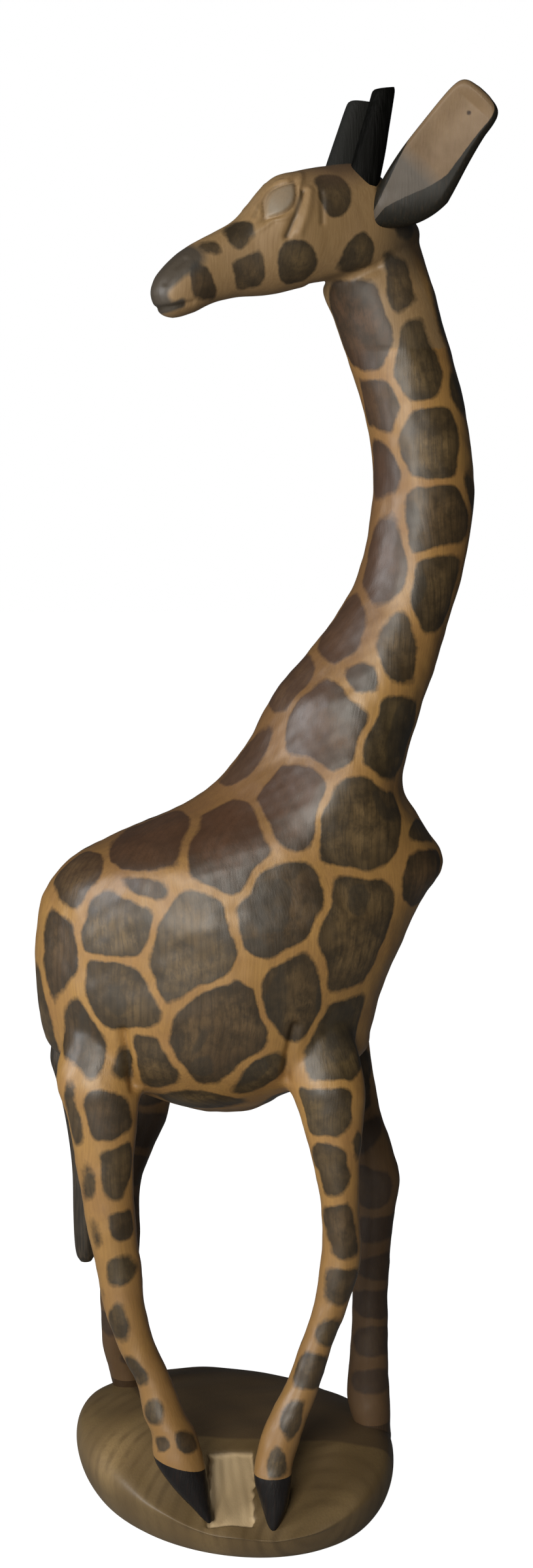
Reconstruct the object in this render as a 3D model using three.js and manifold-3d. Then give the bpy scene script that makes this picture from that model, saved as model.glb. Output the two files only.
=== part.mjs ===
// A tall carved wooden giraffe on a domed base, in millimetres, +Z up.
// The origin is the middle of the base's flat underside. The animal stands side on to -Y with its
// chest towards +X, and its neck carries the head back round, towards -X and a little towards -Y.
// The log carving is divided where its form or finish changes: base, four legs, four hooves, torso,
// neck and head. Ears, horns and tail are pegged into it with round tenons in blind sockets.
import * as THREE from 'three';
import { mergeVertices } from 'three/addons/utils/BufferGeometryUtils.js';
import Module from 'manifold-3d';

const wasm = await Module();
wasm.setup();

// Driving dimensions
const BASE_HEIGHT = 47; // underside to the crown of the dome
const BASE_HALF_LENGTH = 98;
const BASE_HALF_WIDTH = 79;
const BASE_TURN = -45; // degrees from +X to the oval's long axis
const LEG_HEIGHT = 179; // crown of the dome to the underside of the belly
const TORSO_HEIGHT = 224; // underside of the belly to the foot of the neck
const NECK_HEIGHT = 247; // foot of the neck to the poll
const BODY_HALF_LENGTH = 109; // rump or chest point, from the middle
const BODY_HALF_DEPTH = 62;
const HEAD_LENGTH = 139; // poll to nose
const HEAD_HEIGHT = 57; // jaw to brow
const HEAD_HALF_WIDTH = 22;
const HEAD_TURN = 25; // degrees from straight back towards the animal's right side
const HEAD_DROP = 18; // degrees that the nose hangs below the poll
const EAR_LENGTH = 71; // root to tip, outside the head
const EAR_HALF_WIDTH = 14;
const EAR_HALF_THICKNESS = 5.5;
const EAR_DISH_DEPTH = 2.5;
const HORN_LENGTH = 41;
const HORN_HALF_WIDTH = 9; // at the root, fore and aft
const HORN_HALF_THICKNESS = 7;
const TAIL_LENGTH = 120; // from the rump to the tip
const TAIL_HALF_WIDTH = 6.6;
const TENON_RADIUS = 3.5;
const TENON_LENGTH = 11; // into the carving
const TENON_HOLD = 6; // along the inside of the piece that it belongs to
const GLUE_GAP = 0.3; // between two pieces that touch

const BELLY = BASE_HEIGHT + LEG_HEIGHT;
const NECK_FOOT = BELLY + TORSO_HEIGHT;
const POLL = new THREE.Vector3(0.734 * BODY_HALF_LENGTH, 5, NECK_FOOT + NECK_HEIGHT);
const OVERRUN = 6; // how far a trimmed end is first drawn inside its neighbour
const AROUND = 22; // facets round a thick section
const AROUND_SLIM = 14; // and round a slim one
const BASE_MIDDLE = new THREE.Vector2(-3, 11); // the base stands a little behind the animal
const FAR = 1200; // larger than the whole carving
const UP = new THREE.Vector3(0, 0, 1);

const blend = (low, high, share) => low + (high - low) * share;

// --- Surfaces and solids ---------------------------------------------------------------------

// Closed surface through rings of points, each ring anticlockwise seen from beyond the last one
function closedSkin(rings) {
  const count = rings[0].length;
  const corners = rings.flat();
  const faces = [];
  for (let ring = 0; ring + 1 < rings.length; ring += 1) {
    for (let side = 0; side < count; side += 1) {
      const a = ring * count + side;
      const b = ring * count + ((side + 1) % count);
      faces.push(a, b, b + count, a, b + count, a + count);
    }
  }
  const addCap = (first, facesBack) => {
    const end = corners.slice(first, first + count);
    const middle = corners.length;
    corners.push(end.reduce((sum, point) => sum.add(point), new THREE.Vector3()).divideScalar(count));
    for (let side = 0; side < count; side += 1) {
      const a = first + side;
      const b = first + ((side + 1) % count);
      faces.push(middle, facesBack ? b : a, facesBack ? a : b);
    }
  };
  addCap(0, true);
  addCap((rings.length - 1) * count, false);
  const geometry = new THREE.BufferGeometry().setFromPoints(corners);
  geometry.setIndex(faces);
  return geometry;
}

// Smooth curve through rows of numbers, read at a share of the way from the first row to the last
function readRows(rows, share) {
  const numbers = [];
  for (let first = 0; first < rows[0].length; first += 3) {
    const points = rows.map((row) => new THREE.Vector3(row[first], row[first + 1] ?? 0, row[first + 2] ?? 0));
    numbers.push(...new THREE.CatmullRomCurve3(points, false, 'catmullrom', 0.5).getPoint(share).toArray());
  }
  return numbers;
}

// Rounded sections stacked along Z. A row is height, lowest x, highest x, middle y, half depth in y,
// egg and corner: egg above 0 narrows the low-x end, and corner below 1 squares the oval off
function stack(rows, steps, grow = 0, around = AROUND) {
  const rings = [];
  for (let step = 0; step <= steps; step += 1) {
    const [height, low, high, middle, depth, egg, corner] = readRows(rows, step / steps);
    const ring = [];
    for (let side = 0; side < around; side += 1) {
      const angle = (2 * Math.PI * side) / around;
      const along = Math.sign(Math.cos(angle)) * Math.abs(Math.cos(angle)) ** corner;
      const out = Math.sign(Math.sin(angle)) * Math.abs(Math.sin(angle)) ** corner;
      ring.push(new THREE.Vector3(
        (low + high) / 2 + ((high - low) / 2 + grow) * along,
        middle + (depth + grow) * out * (1 + egg * along),
        height,
      ));
    }
    rings.push(ring);
  }
  rings[0].forEach((point) => { point.z -= grow; });
  rings[steps].forEach((point) => { point.z += grow; });
  return closedSkin(rings);
}

function toSolid(geometry) {
  const bare = geometry.clone();
  bare.deleteAttribute('normal');
  bare.deleteAttribute('uv');
  const merged = mergeVertices(bare, 1e-5);
  return new wasm.Manifold(new wasm.Mesh({
    numProp: 3,
    vertProperties: new Float32Array(merged.attributes.position.array),
    triVerts: new Uint32Array(merged.index.array),
  }));
}

function toGeometry(solid) {
  const { vertProperties, triVerts } = solid.getMesh();
  const geometry = new THREE.BufferGeometry();
  geometry.setAttribute('position', new THREE.BufferAttribute(new Float32Array(vertProperties), 3));
  geometry.setIndex(new THREE.BufferAttribute(new Uint32Array(triVerts), 1));
  geometry.computeVertexNormals();
  return geometry;
}

const join = (solids) => solids.reduce((sum, solid) => sum.add(solid));

// The half of space on the far side of a plane, as one very large block
function beyond(point, normal) {
  const block = new THREE.BoxGeometry(2 * FAR, 2 * FAR, 2 * FAR);
  block.translate(0, 0, FAR);
  block.applyQuaternion(new THREE.Quaternion().setFromUnitVectors(UP, normal));
  block.translate(point.x, point.y, point.z);
  return toSolid(block);
}

// Parts of a solid above and below a plane, with the glue gap between them
function partAt(solid, point, normal) {
  const half = point.clone().addScaledVector(normal, GLUE_GAP / 2);
  const otherHalf = point.clone().addScaledVector(normal, -GLUE_GAP / 2);
  return {
    upper: solid.intersect(beyond(half, normal)),
    lower: solid.intersect(beyond(otherHalf, normal.clone().negate())),
  };
}

// A piece drawn along local Z, put where its root is, with Z along its axis and Y facing a way
function set(geometry, root, axis, facing) {
  const across = facing.clone().cross(axis).normalize();
  const face = axis.clone().cross(across);
  const basis = new THREE.Matrix4().makeBasis(across, face, axis);
  return geometry.applyMatrix4(basis.setPosition(root));
}

// Round rod from a start point back along an axis into the carving, and out along it into the piece
function rod(root, axis, inside, outside, radius) {
  const shape = new THREE.CylinderGeometry(radius, radius, inside + outside, AROUND_SLIM);
  shape.rotateX(Math.PI / 2);
  shape.translate(0, 0, (outside - inside) / 2);
  shape.applyQuaternion(new THREE.Quaternion().setFromUnitVectors(UP, axis));
  shape.translate(root.x, root.y, root.z);
  return toSolid(shape);
}

// --- Base ------------------------------------------------------------------------------------

// Radius share against height share of the dome
const DOME = [
  [0, 0], [0.80, 0], [0.90, 0.10], [0.965, 0.28], [1, 0.52], [0.975, 0.68],
  [0.90, 0.80], [0.78, 0.89], [0.62, 0.95], [0.42, 0.985], [0, 1],
];
const dome = new THREE.LatheGeometry(DOME.map(([radius, up]) => new THREE.Vector2(radius, up)), 44);
dome.rotateX(Math.PI / 2);
dome.scale(BASE_HALF_LENGTH, BASE_HALF_WIDTH, BASE_HEIGHT);
dome.rotateZ(THREE.MathUtils.degToRad(BASE_TURN));
dome.translate(BASE_MIDDLE.x, BASE_MIDDLE.y, 0);

// How far the turned oval reaches each way along X and Y
const baseTurn = THREE.MathUtils.degToRad(BASE_TURN);
const BASE_REACH_X = Math.hypot(BASE_HALF_LENGTH * Math.cos(baseTurn), BASE_HALF_WIDTH * Math.sin(baseTurn));
const BASE_REACH_Y = Math.hypot(BASE_HALF_LENGTH * Math.sin(baseTurn), BASE_HALF_WIDTH * Math.cos(baseTurn));

// --- Legs ------------------------------------------------------------------------------------

// Level ovals from inside the body down to the toe. A row is height above the crown of the dome, as a
// share of the leg, or below 0 of the base; then x and y as shares of the half length and half depth
// that the carving has there, measured from its middle; then half length and half depth in mm
const LEGS = {
  hindleg_right: [
    [1.42, -0.62, -0.44, 14, 10],
    [1.17, -0.648, -0.58, 22.4, 16],
    [1.06, -0.635, -0.65, 19.3, 14],
    [0.95, -0.638, -0.655, 16.3, 13],
    [0.83, -0.635, -0.66, 14.1, 12],
    [0.71, -0.625, -0.66, 12.9, 11.5],
    [0.59, -0.60, -0.665, 11.9, 11],
    [0.49, -0.58, -0.675, 11, 10.5],
    [0.37, -0.528, -0.69, 10, 10],
    [0.26, -0.44, -0.718, 9.5, 10],
    [0.17, -0.385, -0.744, 10.9, 11],
    [0.11, -0.33, -0.76, 11.8, 11.5],
    [0.04, -0.30, -0.786, 13, 11.5],
    [-0.22, -0.22, -0.816, 8.6, 9],
    [-0.53, -0.12, -0.86, 2.1, 5],
  ],
  foreleg_right: [
    [1.42, 0.38, -0.44, 12, 10],
    [1.22, 0.40, -0.57, 21, 14.5],
    [1.12, 0.432, -0.64, 20.3, 14.5],
    [1.01, 0.47, -0.662, 15.5, 13],
    [0.89, 0.498, -0.664, 12, 11.5],
    [0.77, 0.53, -0.65, 10.1, 10.8],
    [0.65, 0.555, -0.64, 10.6, 10.5],
    [0.57, 0.551, -0.646, 10.4, 10.2],
    [0.47, 0.516, -0.664, 8.9, 9.5],
    [0.36, 0.457, -0.69, 8.3, 9],
    [0.24, 0.394, -0.716, 9.4, 9.5],
    [0.13, 0.306, -0.75, 10.4, 10],
    [0.03, 0.258, -0.775, 10.3, 10],
    [-0.07, 0.251, -0.804, 10.2, 9.5],
    [-0.36, 0.26, -0.84, 6.9, 8],
    [-0.61, 0.253, -0.88, 2.2, 5],
  ],
  hindleg_left: [
    [1.42, -0.42, 0.40, 14, 10],
    [1.23, -0.42, 0.48, 19, 16],
    [1.06, -0.44, 0.54, 14.6, 15],
    [0.93, -0.472, 0.52, 12.4, 13],
    [0.80, -0.571, 0.50, 12.3, 12],
    [0.67, -0.636, 0.496, 10.9, 11],
    [0.49, -0.675, 0.49, 11.5, 10.5],
    [0.27, -0.715, 0.498, 10, 9.8],
    [0.11, -0.729, 0.50, 9.1, 9.6],
    [0.04, -0.70, 0.502, 9.5, 9.8],
    [-0.18, -0.66, 0.52, 9.9, 10],
    [-0.5, -0.65, 0.52, 8.5, 9],
  ],
  foreleg_left: [
    [1.42, 0.46, 0.40, 12, 10],
    [1.23, 0.50, 0.46, 17, 15],
    [1.12, 0.551, 0.446, 12.3, 14],
    [0.95, 0.632, 0.37, 11.4, 12.5],
    [0.83, 0.70, 0.30, 13, 12],
    [0.75, 0.746, 0.25, 12.9, 11.5],
    [0.64, 0.756, 0.196, 11.1, 11],
    [0.52, 0.76, 0.13, 10.4, 10.5],
    [0.40, 0.776, 0.082, 9.7, 10],
    [0.22, 0.804, 0.016, 10.6, 10.5],
    [0.09, 0.824, -0.023, 11.8, 11.5],
    [0.01, 0.85, -0.055, 11.1, 11.5],
    [-0.27, 0.87, -0.078, 8.4, 10],
    [-0.5, 0.84, -0.08, 7, 8],
  ],
};
// Height share where each hoof starts, and the fall of its upper edge towards +X
const HOOVES = {
  hindleg_right: [0.03, 0.25],
  foreleg_right: [-0.01, 0],
  hindleg_left: [0.075, 0],
  foreleg_left: [0.075, 0],
};

// A leg keeps to the base at its foot and spreads with the body at its top
function legRow([up, along, across, length, depth]) {
  const share = Math.max(up, 0);
  const height = BASE_HEIGHT + up * (up > 0 ? LEG_HEIGHT : BASE_HEIGHT);
  const x = blend(BASE_MIDDLE.x, 0, share) + along * blend(BASE_REACH_X, BODY_HALF_LENGTH, share);
  const y = blend(BASE_MIDDLE.y, 0, share) + across * blend(BASE_REACH_Y, BODY_HALF_DEPTH, share);
  return [height, x - length, x + length, y, depth, 0, 1];
}

const drawLeg = (rows, grow) => toSolid(stack(rows.map(legRow).reverse(), 22, grow, AROUND_SLIM));

// --- Torso and neck --------------------------------------------------------------------------

// Height above the belly as a share of the torso, back and front as shares of the half length, half
// depth as a share of the body's, and egg
const TORSO = [
  [0.00, -0.20, 0.07, 0.10, 0],
  [0.027, -0.35, 0.18, 0.30, 0],
  [0.06, -0.50, 0.28, 0.52, 0],
  [0.107, -0.73, 0.50, 0.72, 0],
  [0.156, -0.90, 0.64, 0.84, 0],
  [0.205, -0.96, 0.66, 0.92, 0],
  [0.304, -0.98, 0.715, 0.98, 0],
  [0.40, -0.988, 0.79, 1.00, 0.05],
  [0.496, -0.966, 0.88, 1.00, 0.05],
  [0.542, -0.93, 0.935, 0.97, 0],
  [0.59, -0.867, 0.997, 0.94, -0.08],
  [0.63, -0.78, 1.005, 0.90, -0.12],
  [0.683, -0.549, 0.936, 0.85, 0],
  [0.732, -0.316, 0.867, 0.80, 0.15],
  [0.78, -0.162, 0.812, 0.76, 0.3],
  [0.826, -0.054, 0.807, 0.72, 0.35],
  [0.873, 0.028, 0.828, 0.68, 0.35],
  [0.92, 0.085, 0.853, 0.64, 0.3],
  [0.964, 0.127, 0.883, 0.60, 0.25],
];
// The same for the neck, with its height as a share of the neck and its half depth in millimetres
const NECK = [
  [0.012, 0.186, 0.914, 36, 0.2],
  [0.053, 0.255, 0.945, 34, 0.2],
  [0.138, 0.418, 1.00, 30.5, 0.15],
  [0.22, 0.541, 1.055, 28, 0.1],
  [0.304, 0.61, 1.10, 26.5, 0.05],
  [0.385, 0.642, 1.128, 25.5, 0],
  [0.466, 0.654, 1.132, 25, 0],
  [0.547, 0.633, 1.112, 24.5, 0],
  [0.628, 0.592, 1.08, 24, 0],
  [0.709, 0.528, 1.028, 23.5, 0],
  [0.79, 0.463, 0.972, 23, 0],
  [0.866, 0.413, 0.92, 21, 0],
  [1.00, 0.58, 0.83, 12, 0],
];

function trunkRows() {
  const torso = TORSO.map(([up, back, front, depth, egg]) => [
    BELLY + up * TORSO_HEIGHT, back * BODY_HALF_LENGTH, front * BODY_HALF_LENGTH, 0,
    depth * BODY_HALF_DEPTH, egg, 1,
  ]);
  const neck = NECK.map(([up, back, front, depth, egg]) => [
    NECK_FOOT + up * NECK_HEIGHT, back * BODY_HALF_LENGTH, front * BODY_HALF_LENGTH, up * POLL.y,
    depth, egg, 1,
  ]);
  return [...torso, ...neck];
}

// --- Head ------------------------------------------------------------------------------------

const turn = THREE.MathUtils.degToRad(HEAD_TURN);
const drop = THREE.MathUtils.degToRad(HEAD_DROP);
const AHEAD = new THREE.Vector3(-Math.cos(turn) * Math.cos(drop), -Math.sin(turn) * Math.cos(drop),
  -Math.sin(drop));
const LEFTWARD = new THREE.Vector3(Math.sin(turn), -Math.cos(turn), 0); // the head's own left
const CROWNWARD = LEFTWARD.clone().cross(AHEAD).negate();

// A direction or a point given along the head's own axes, from the poll
const headWay = (ahead, left, up) => new THREE.Vector3()
  .addScaledVector(AHEAD, ahead)
  .addScaledVector(LEFTWARD, left)
  .addScaledVector(CROWNWARD, up);
const headPoint = (ahead, left, up) => headWay(ahead, left, up).add(POLL);

// Distance ahead of the poll as a share of the head, jaw and brow as shares of its height, half width
// as a share, and corner
const HEAD = [
  [-0.10, -0.20, -0.12, 0.35, 1],
  [-0.06, -0.34, 0.05, 0.60, 1],
  [0.02, -0.42, 0.34, 0.80, 0.9],
  [0.10, -0.43, 0.53, 0.90, 0.8],
  [0.22, -0.42, 0.59, 0.95, 0.8],
  [0.33, -0.375, 0.625, 0.98, 0.9],
  [0.41, -0.35, 0.635, 1.00, 0.95],
  [0.48, -0.335, 0.565, 0.96, 0.95],
  [0.55, -0.315, 0.46, 0.86, 0.95],
  [0.62, -0.285, 0.38, 0.75, 0.95],
  [0.70, -0.24, 0.35, 0.67, 0.92],
  [0.79, -0.22, 0.32, 0.63, 0.9],
  [0.88, -0.245, 0.27, 0.60, 0.9],
  [0.95, -0.235, 0.18, 0.50, 0.9],
  [0.985, -0.17, 0.09, 0.33, 1],
  [1.00, -0.06, 0.03, 0.10, 1],
];

function drawHead(grow) {
  const rows = HEAD.map(([ahead, jaw, brow, width, corner]) => [
    ahead * HEAD_LENGTH, jaw * HEAD_HEIGHT, brow * HEAD_HEIGHT, 0, width * HEAD_HALF_WIDTH, 0, corner,
  ]);
  return toSolid(set(stack(rows, 24, grow), POLL, AHEAD, LEFTWARD.clone().negate()));
}

// The carving is divided at the head by a plane from the throat to the nape
const THROAT = headPoint(0.315 * HEAD_LENGTH, 0, -0.42 * HEAD_HEIGHT);
const NAPE = headPoint(-0.095 * HEAD_LENGTH, 0, -0.16 * HEAD_HEIGHT);
const COLLAR = LEFTWARD.clone().cross(NAPE.clone().sub(THROAT)).normalize();

// --- Ears, horns and tail --------------------------------------------------------------------

// A row is share of the length, half width, half thickness and corner, and the section's bend in mm
const EAR_ROWS = [
  [0, 0.80, 1.70, 1, 0],
  [0.15, 0.90, 1.45, 1, 0],
  [0.35, 0.97, 1.15, 0.9, 0],
  [0.60, 1.00, 1.00, 0.85, 0],
  [0.82, 1.00, 0.92, 0.8, 0],
  [0.93, 0.90, 0.85, 0.85, 0],
  [0.985, 0.66, 0.70, 0.9, 0],
  [1.00, 0.42, 0.50, 0.9, 0],
];
const DISH_ROWS = [
  [0.20, 0.40, 0.10, 1, 0],
  [0.30, 0.62, 0.80, 1, 0],
  [0.50, 0.78, 1.00, 1, 0],
  [0.80, 0.82, 1.00, 0.9, 0],
  [0.92, 0.68, 0.80, 0.9, 0],
  [0.96, 0.45, 0.10, 1, 0],
];
const HORN_ROWS = [
  [0, 1.00, 1.00, 1, 0],
  [0.20, 0.94, 0.95, 0.9, 0],
  [0.50, 0.80, 0.86, 0.85, 0],
  [0.80, 0.66, 0.78, 0.8, 0],
  [1.00, 0.57, 0.74, 0.8, 0],
];
const TAIL_ROWS = [
  [0, 0.80, 0.80, 1, 0],
  [0.05, 0.80, 0.85, 1, -1.5],
  [0.19, 0.95, 0.90, 1, 5],
  [0.40, 1.00, 1.00, 1, 9.5],
  [0.60, 1.05, 1.00, 1, 11.8],
  [0.85, 1.00, 0.95, 1, 12.2],
  [0.95, 0.80, 0.80, 1, 12],
  [1.00, 0.35, 0.40, 1, 12],
];

// A piece drawn from its root along its axis, its broad side facing a way
function drawInset(rows, { root, axis, facing, length, halfWidth, halfThickness }, raise = 0, grow = 0) {
  const scaled = rows.map(([share, width, thickness, corner, bend]) => [
    share * length, bend - width * halfWidth, bend + width * halfWidth, raise,
    thickness * halfThickness, 0, corner,
  ]);
  return set(stack(scaled, 14, grow, AROUND_SLIM), root, axis, facing);
}

function ear(side) {
  return {
    rows: [[-OVERRUN / EAR_LENGTH, 0.7, 1.7, 1, 0], ...EAR_ROWS],
    root: headPoint(0.073 * HEAD_LENGTH, side * 0.95 * HEAD_HALF_WIDTH, 0.12 * HEAD_HEIGHT),
    axis: headWay(-0.602, side * 0.577, 0.552).normalize(),
    facing: headWay(0.685, side * 0.724, 0.075),
    length: EAR_LENGTH,
    halfWidth: EAR_HALF_WIDTH,
    halfThickness: EAR_HALF_THICKNESS,
  };
}

function horn(side) {
  return {
    rows: [[-OVERRUN / HORN_LENGTH, 1, 1, 1, 0], ...HORN_ROWS],
    root: headPoint(0.083 * HEAD_LENGTH, side * 0.5 * HEAD_HALF_WIDTH, 0.44 * HEAD_HEIGHT),
    axis: headWay(-0.486, 0, 0.874).normalize(),
    facing: headWay(0, side, 0),
    length: HORN_LENGTH,
    halfWidth: HORN_HALF_WIDTH,
    halfThickness: HORN_HALF_THICKNESS,
  };
}

const tail = {
  rows: [[-OVERRUN / TAIL_LENGTH, 0.8, 0.8, 1, 1], ...TAIL_ROWS],
  root: new THREE.Vector3(-0.876 * BODY_HALF_LENGTH, 8, BELLY + 0.15 * TORSO_HEIGHT),
  axis: UP.clone().negate(),
  facing: new THREE.Vector3(0, -1, 0),
  length: TAIL_LENGTH,
  halfWidth: TAIL_HALF_WIDTH,
  halfThickness: TAIL_HALF_WIDTH,
};

const INSETS = {
  ear_left: ear(1),
  ear_right: ear(-1),
  horn_left: horn(1),
  horn_right: horn(-1),
  tail,
};

// --- Carving the log and fitting the pieces --------------------------------------------------

const legs = Object.fromEntries(Object.entries(LEGS).map(([name, rows]) => [name, drawLeg(rows, 0)]));
const grownLegs = Object.values(LEGS).map((rows) => drawLeg(rows, GLUE_GAP));
const trunk = toSolid(stack(trunkRows(), 46));
const grownTrunk = toSolid(stack(trunkRows(), 46, GLUE_GAP));
const sockets = Object.values(INSETS).map(({ root, axis }) => (
  rod(root, axis, TENON_LENGTH + GLUE_GAP, OVERRUN, TENON_RADIUS + GLUE_GAP)
));
const body = join([trunk, drawHead(0), ...Object.values(legs)]).subtract(join(sockets));
const grownBody = join([grownTrunk, drawHead(GLUE_GAP)]);

const atBelly = partAt(body, new THREE.Vector3(0, 0, BELLY), UP);
const atNeckFoot = partAt(atBelly.upper, new THREE.Vector3(0, 0, NECK_FOOT), UP);
const atCollar = partAt(atNeckFoot.upper, THROAT, COLLAR);

const solids = {
  base: toSolid(dome).subtract(join(grownLegs)),
  torso: atNeckFoot.lower,
  neck: atCollar.lower,
  head: atCollar.upper,
};
for (const [name, leg] of Object.entries(legs)) {
  const [share, fall] = HOOVES[name];
  const ankle = new THREE.Vector3(0, 0, BASE_HEIGHT + share * LEG_HEIGHT);
  const row = LEGS[name].find(([up]) => up <= share);
  ankle.x = BASE_MIDDLE.x + row[1] * BASE_REACH_X;
  const belowBelly = partAt(leg, new THREE.Vector3(0, 0, BELLY), UP).lower;
  const { upper, lower } = partAt(belowBelly, ankle, new THREE.Vector3(fall, 0, 1).normalize());
  solids[name] = upper;
  solids[name.replace('leg', 'hoof')] = lower;
}
const grownHorns = [horn(1), horn(-1)].map((piece) => toSolid(drawInset(piece.rows, piece, 0, GLUE_GAP)));
for (const [name, piece] of Object.entries(INSETS)) {
  let solid = toSolid(drawInset(piece.rows, piece)).subtract(grownBody);
  if (name.startsWith('ear')) {
    solid = solid.subtract(join(grownHorns)); // an ear's root is pared away beside the horn
    const dish = { ...piece, halfThickness: EAR_DISH_DEPTH };
    solid = solid.subtract(toSolid(drawInset(DISH_ROWS, dish, EAR_HALF_THICKNESS)));
  }
  solids[name] = solid.add(rod(piece.root, piece.axis, TENON_LENGTH, TENON_HOLD, TENON_RADIUS));
}

// --- Finishes and the finished group ---------------------------------------------------------

const FINISHES = {
  coat: { color: 0x6b5032, roughness: 0.45, metalness: 0 }, // varnished wood with painted patches
  bare_wood: { color: 0x8a7550, roughness: 0.6, metalness: 0 },
  black_paint: { color: 0x1d1b19, roughness: 0.5, metalness: 0 },
  ear_paint: { color: 0x7d6a4e, roughness: 0.6, metalness: 0 },
};

function finishOf(name) {
  if (name === 'base') return FINISHES.bare_wood;
  if (name.startsWith('ear')) return FINISHES.ear_paint;
  if (/^(horn|tail|forehoof|hindhoof)/.test(name)) return FINISHES.black_paint;
  return FINISHES.coat;
}

const giraffe = new THREE.Group();
for (const [name, solid] of Object.entries(solids)) {
  const mesh = new THREE.Mesh(toGeometry(solid), new THREE.MeshStandardMaterial(finishOf(name)));
  mesh.name = name;
  giraffe.add(mesh);
}

export default giraffe;
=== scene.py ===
"""A tall carved and painted wooden giraffe on a domed base, built piece by piece over its CAD frame.

Sizes are in millimetres and become metres where a mesh is made. +Z is up, +X is towards the chest
of the animal, and -Y is its right side, which is the side on show.
"""

from math import cos, radians, sin

import bmesh
import bpy
import numpy as np
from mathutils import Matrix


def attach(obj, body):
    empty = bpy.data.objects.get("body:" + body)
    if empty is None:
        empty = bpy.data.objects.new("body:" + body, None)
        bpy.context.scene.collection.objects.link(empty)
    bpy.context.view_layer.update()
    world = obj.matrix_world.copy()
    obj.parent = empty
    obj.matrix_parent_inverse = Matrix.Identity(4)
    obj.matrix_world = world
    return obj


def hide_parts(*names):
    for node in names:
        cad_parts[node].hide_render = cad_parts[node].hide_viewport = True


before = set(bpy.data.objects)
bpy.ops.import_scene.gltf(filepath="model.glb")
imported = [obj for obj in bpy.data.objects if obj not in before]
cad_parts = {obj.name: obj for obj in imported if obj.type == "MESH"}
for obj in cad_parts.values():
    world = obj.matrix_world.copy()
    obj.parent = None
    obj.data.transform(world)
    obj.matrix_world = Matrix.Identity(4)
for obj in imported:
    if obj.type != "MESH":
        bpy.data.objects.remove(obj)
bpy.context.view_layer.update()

# --- Camera, light and floor -------------------------------------------------------------------
# A plain pale floor and background, one soft light in front and a little to the left, another on
# the left side, and a camera level with the neck that looks slightly down.

CAMERA_PLACE = (0.016, -1.15, 0.59)
CAMERA_TILT = radians(80.83)  # a level camera would have 90 degrees
FLOOR_HALF = 6
FLOOR_GREY = (0.34, 0.34, 0.34, 1)
FLOOR_SEEN = 0.99  # brightness of the floor to the camera
ROOM_SEEN = 1.0  # the same of the background
ROOM_LIGHT = 0.045  # light that the background gives

bpy.context.scene.view_settings.view_transform = "Standard"

lens = bpy.data.cameras.new("camera")
lens.lens = 50.58
lens.sensor_width = 36
camera = bpy.data.objects.new("camera", lens)
camera.location = CAMERA_PLACE
camera.rotation_euler = (CAMERA_TILT, 0, 0)
bpy.context.scene.collection.objects.link(camera)
bpy.context.scene.camera = camera

world = bpy.data.worlds.new("pale room")
world.use_nodes = True
bpy.context.scene.world = world


def add_light(name, place, aim, width, height, power, colour):
    """A rectangular soft light at place, pointing at aim."""
    light = bpy.data.lights.new(name, "AREA")
    light.shape = "RECTANGLE"
    light.size = width
    light.size_y = height
    light.energy = power
    light.color = colour
    lamp = bpy.data.objects.new(name, light)
    lamp.location = place
    direction = lamp.location.copy()
    direction.x, direction.y, direction.z = (a - p for a, p in zip(aim, place))
    lamp.rotation_euler = direction.to_track_quat("-Z", "Y").to_euler()
    bpy.context.scene.collection.objects.link(lamp)


add_light("window light", (-0.5, -1.72, 0.85), (0, 0, 0.34), 0.8, 0.9, 27, (1.0, 0.955, 0.88))
add_light("side light", (-1.75, -0.8, 0.9), (-0.05, 0, 0.3), 0.7, 0.8, 22, (0.97, 0.98, 1.0))

floor_mesh = bpy.data.meshes.new("floor")
floor_corners = [(FLOOR_HALF * x, FLOOR_HALF * y, 0) for x, y in ((-1, -1), (1, -1), (1, 1), (-1, 1))]
floor_mesh.from_pydata(floor_corners, [], [(0, 1, 2, 3)])
floor = bpy.data.objects.new("floor", floor_mesh)
bpy.context.scene.collection.objects.link(floor)


def add_node(tree, kind, inputs=None, **settings):
    """A node with its inputs set: a value is stored, and another node's output is linked."""
    made = tree.nodes.new(kind)
    for name, value in settings.items():
        setattr(made, name, value)
    for name, value in (inputs or {}).items():
        if isinstance(value, bpy.types.NodeSocket):
            tree.links.new(value, made.inputs[name])
        else:
            made.inputs[name].default_value = value
    return made


def new_material(name):
    """An empty node material with its output, and the tree that the section fills in."""
    material = bpy.data.materials.new(name)
    material.use_nodes = True
    tree = material.node_tree
    tree.nodes.clear()
    output = tree.nodes.new("ShaderNodeOutputMaterial")
    return material, tree, output


def glow(tree, hidden, seen):
    """A strength of light that is seen by the camera, and hidden for everything that is lit by it."""
    camera_ray = add_node(tree, "ShaderNodeLightPath").outputs["Is Camera Ray"]
    strength = add_node(tree, "ShaderNodeMapRange", {"Value": camera_ray, "To Min": hidden, "To Max": seen})
    return strength.outputs[0]


# The room is white to look at but gives only a weak light of its own
tree = world.node_tree
tree.links.new(glow(tree, ROOM_LIGHT, ROOM_SEEN), tree.nodes["Background"].inputs["Strength"])
tree.nodes["Background"].inputs["Color"].default_value = (1, 1, 1, 1)

floor_paint, tree, output = new_material("floor paint")
shader = add_node(tree, "ShaderNodeBsdfPrincipled", {
    "Base Color": FLOOR_GREY, "Roughness": 0.9,
    "Emission Color": (1, 1, 1, 1), "Emission Strength": glow(tree, 0.0, FLOOR_SEEN)})
tree.links.new(shader.outputs[0], output.inputs["Surface"])
floor_mesh.materials.append(floor_paint)

# --- Carved skin: torso, neck, head, legs and hooves -------------------------------------------
# The real animal is carved from one log. Trunk, head and legs are drawn as stacks of ovals, melted
# together into one skin, tooled, painted, and divided where the CAD pieces meet.

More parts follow.
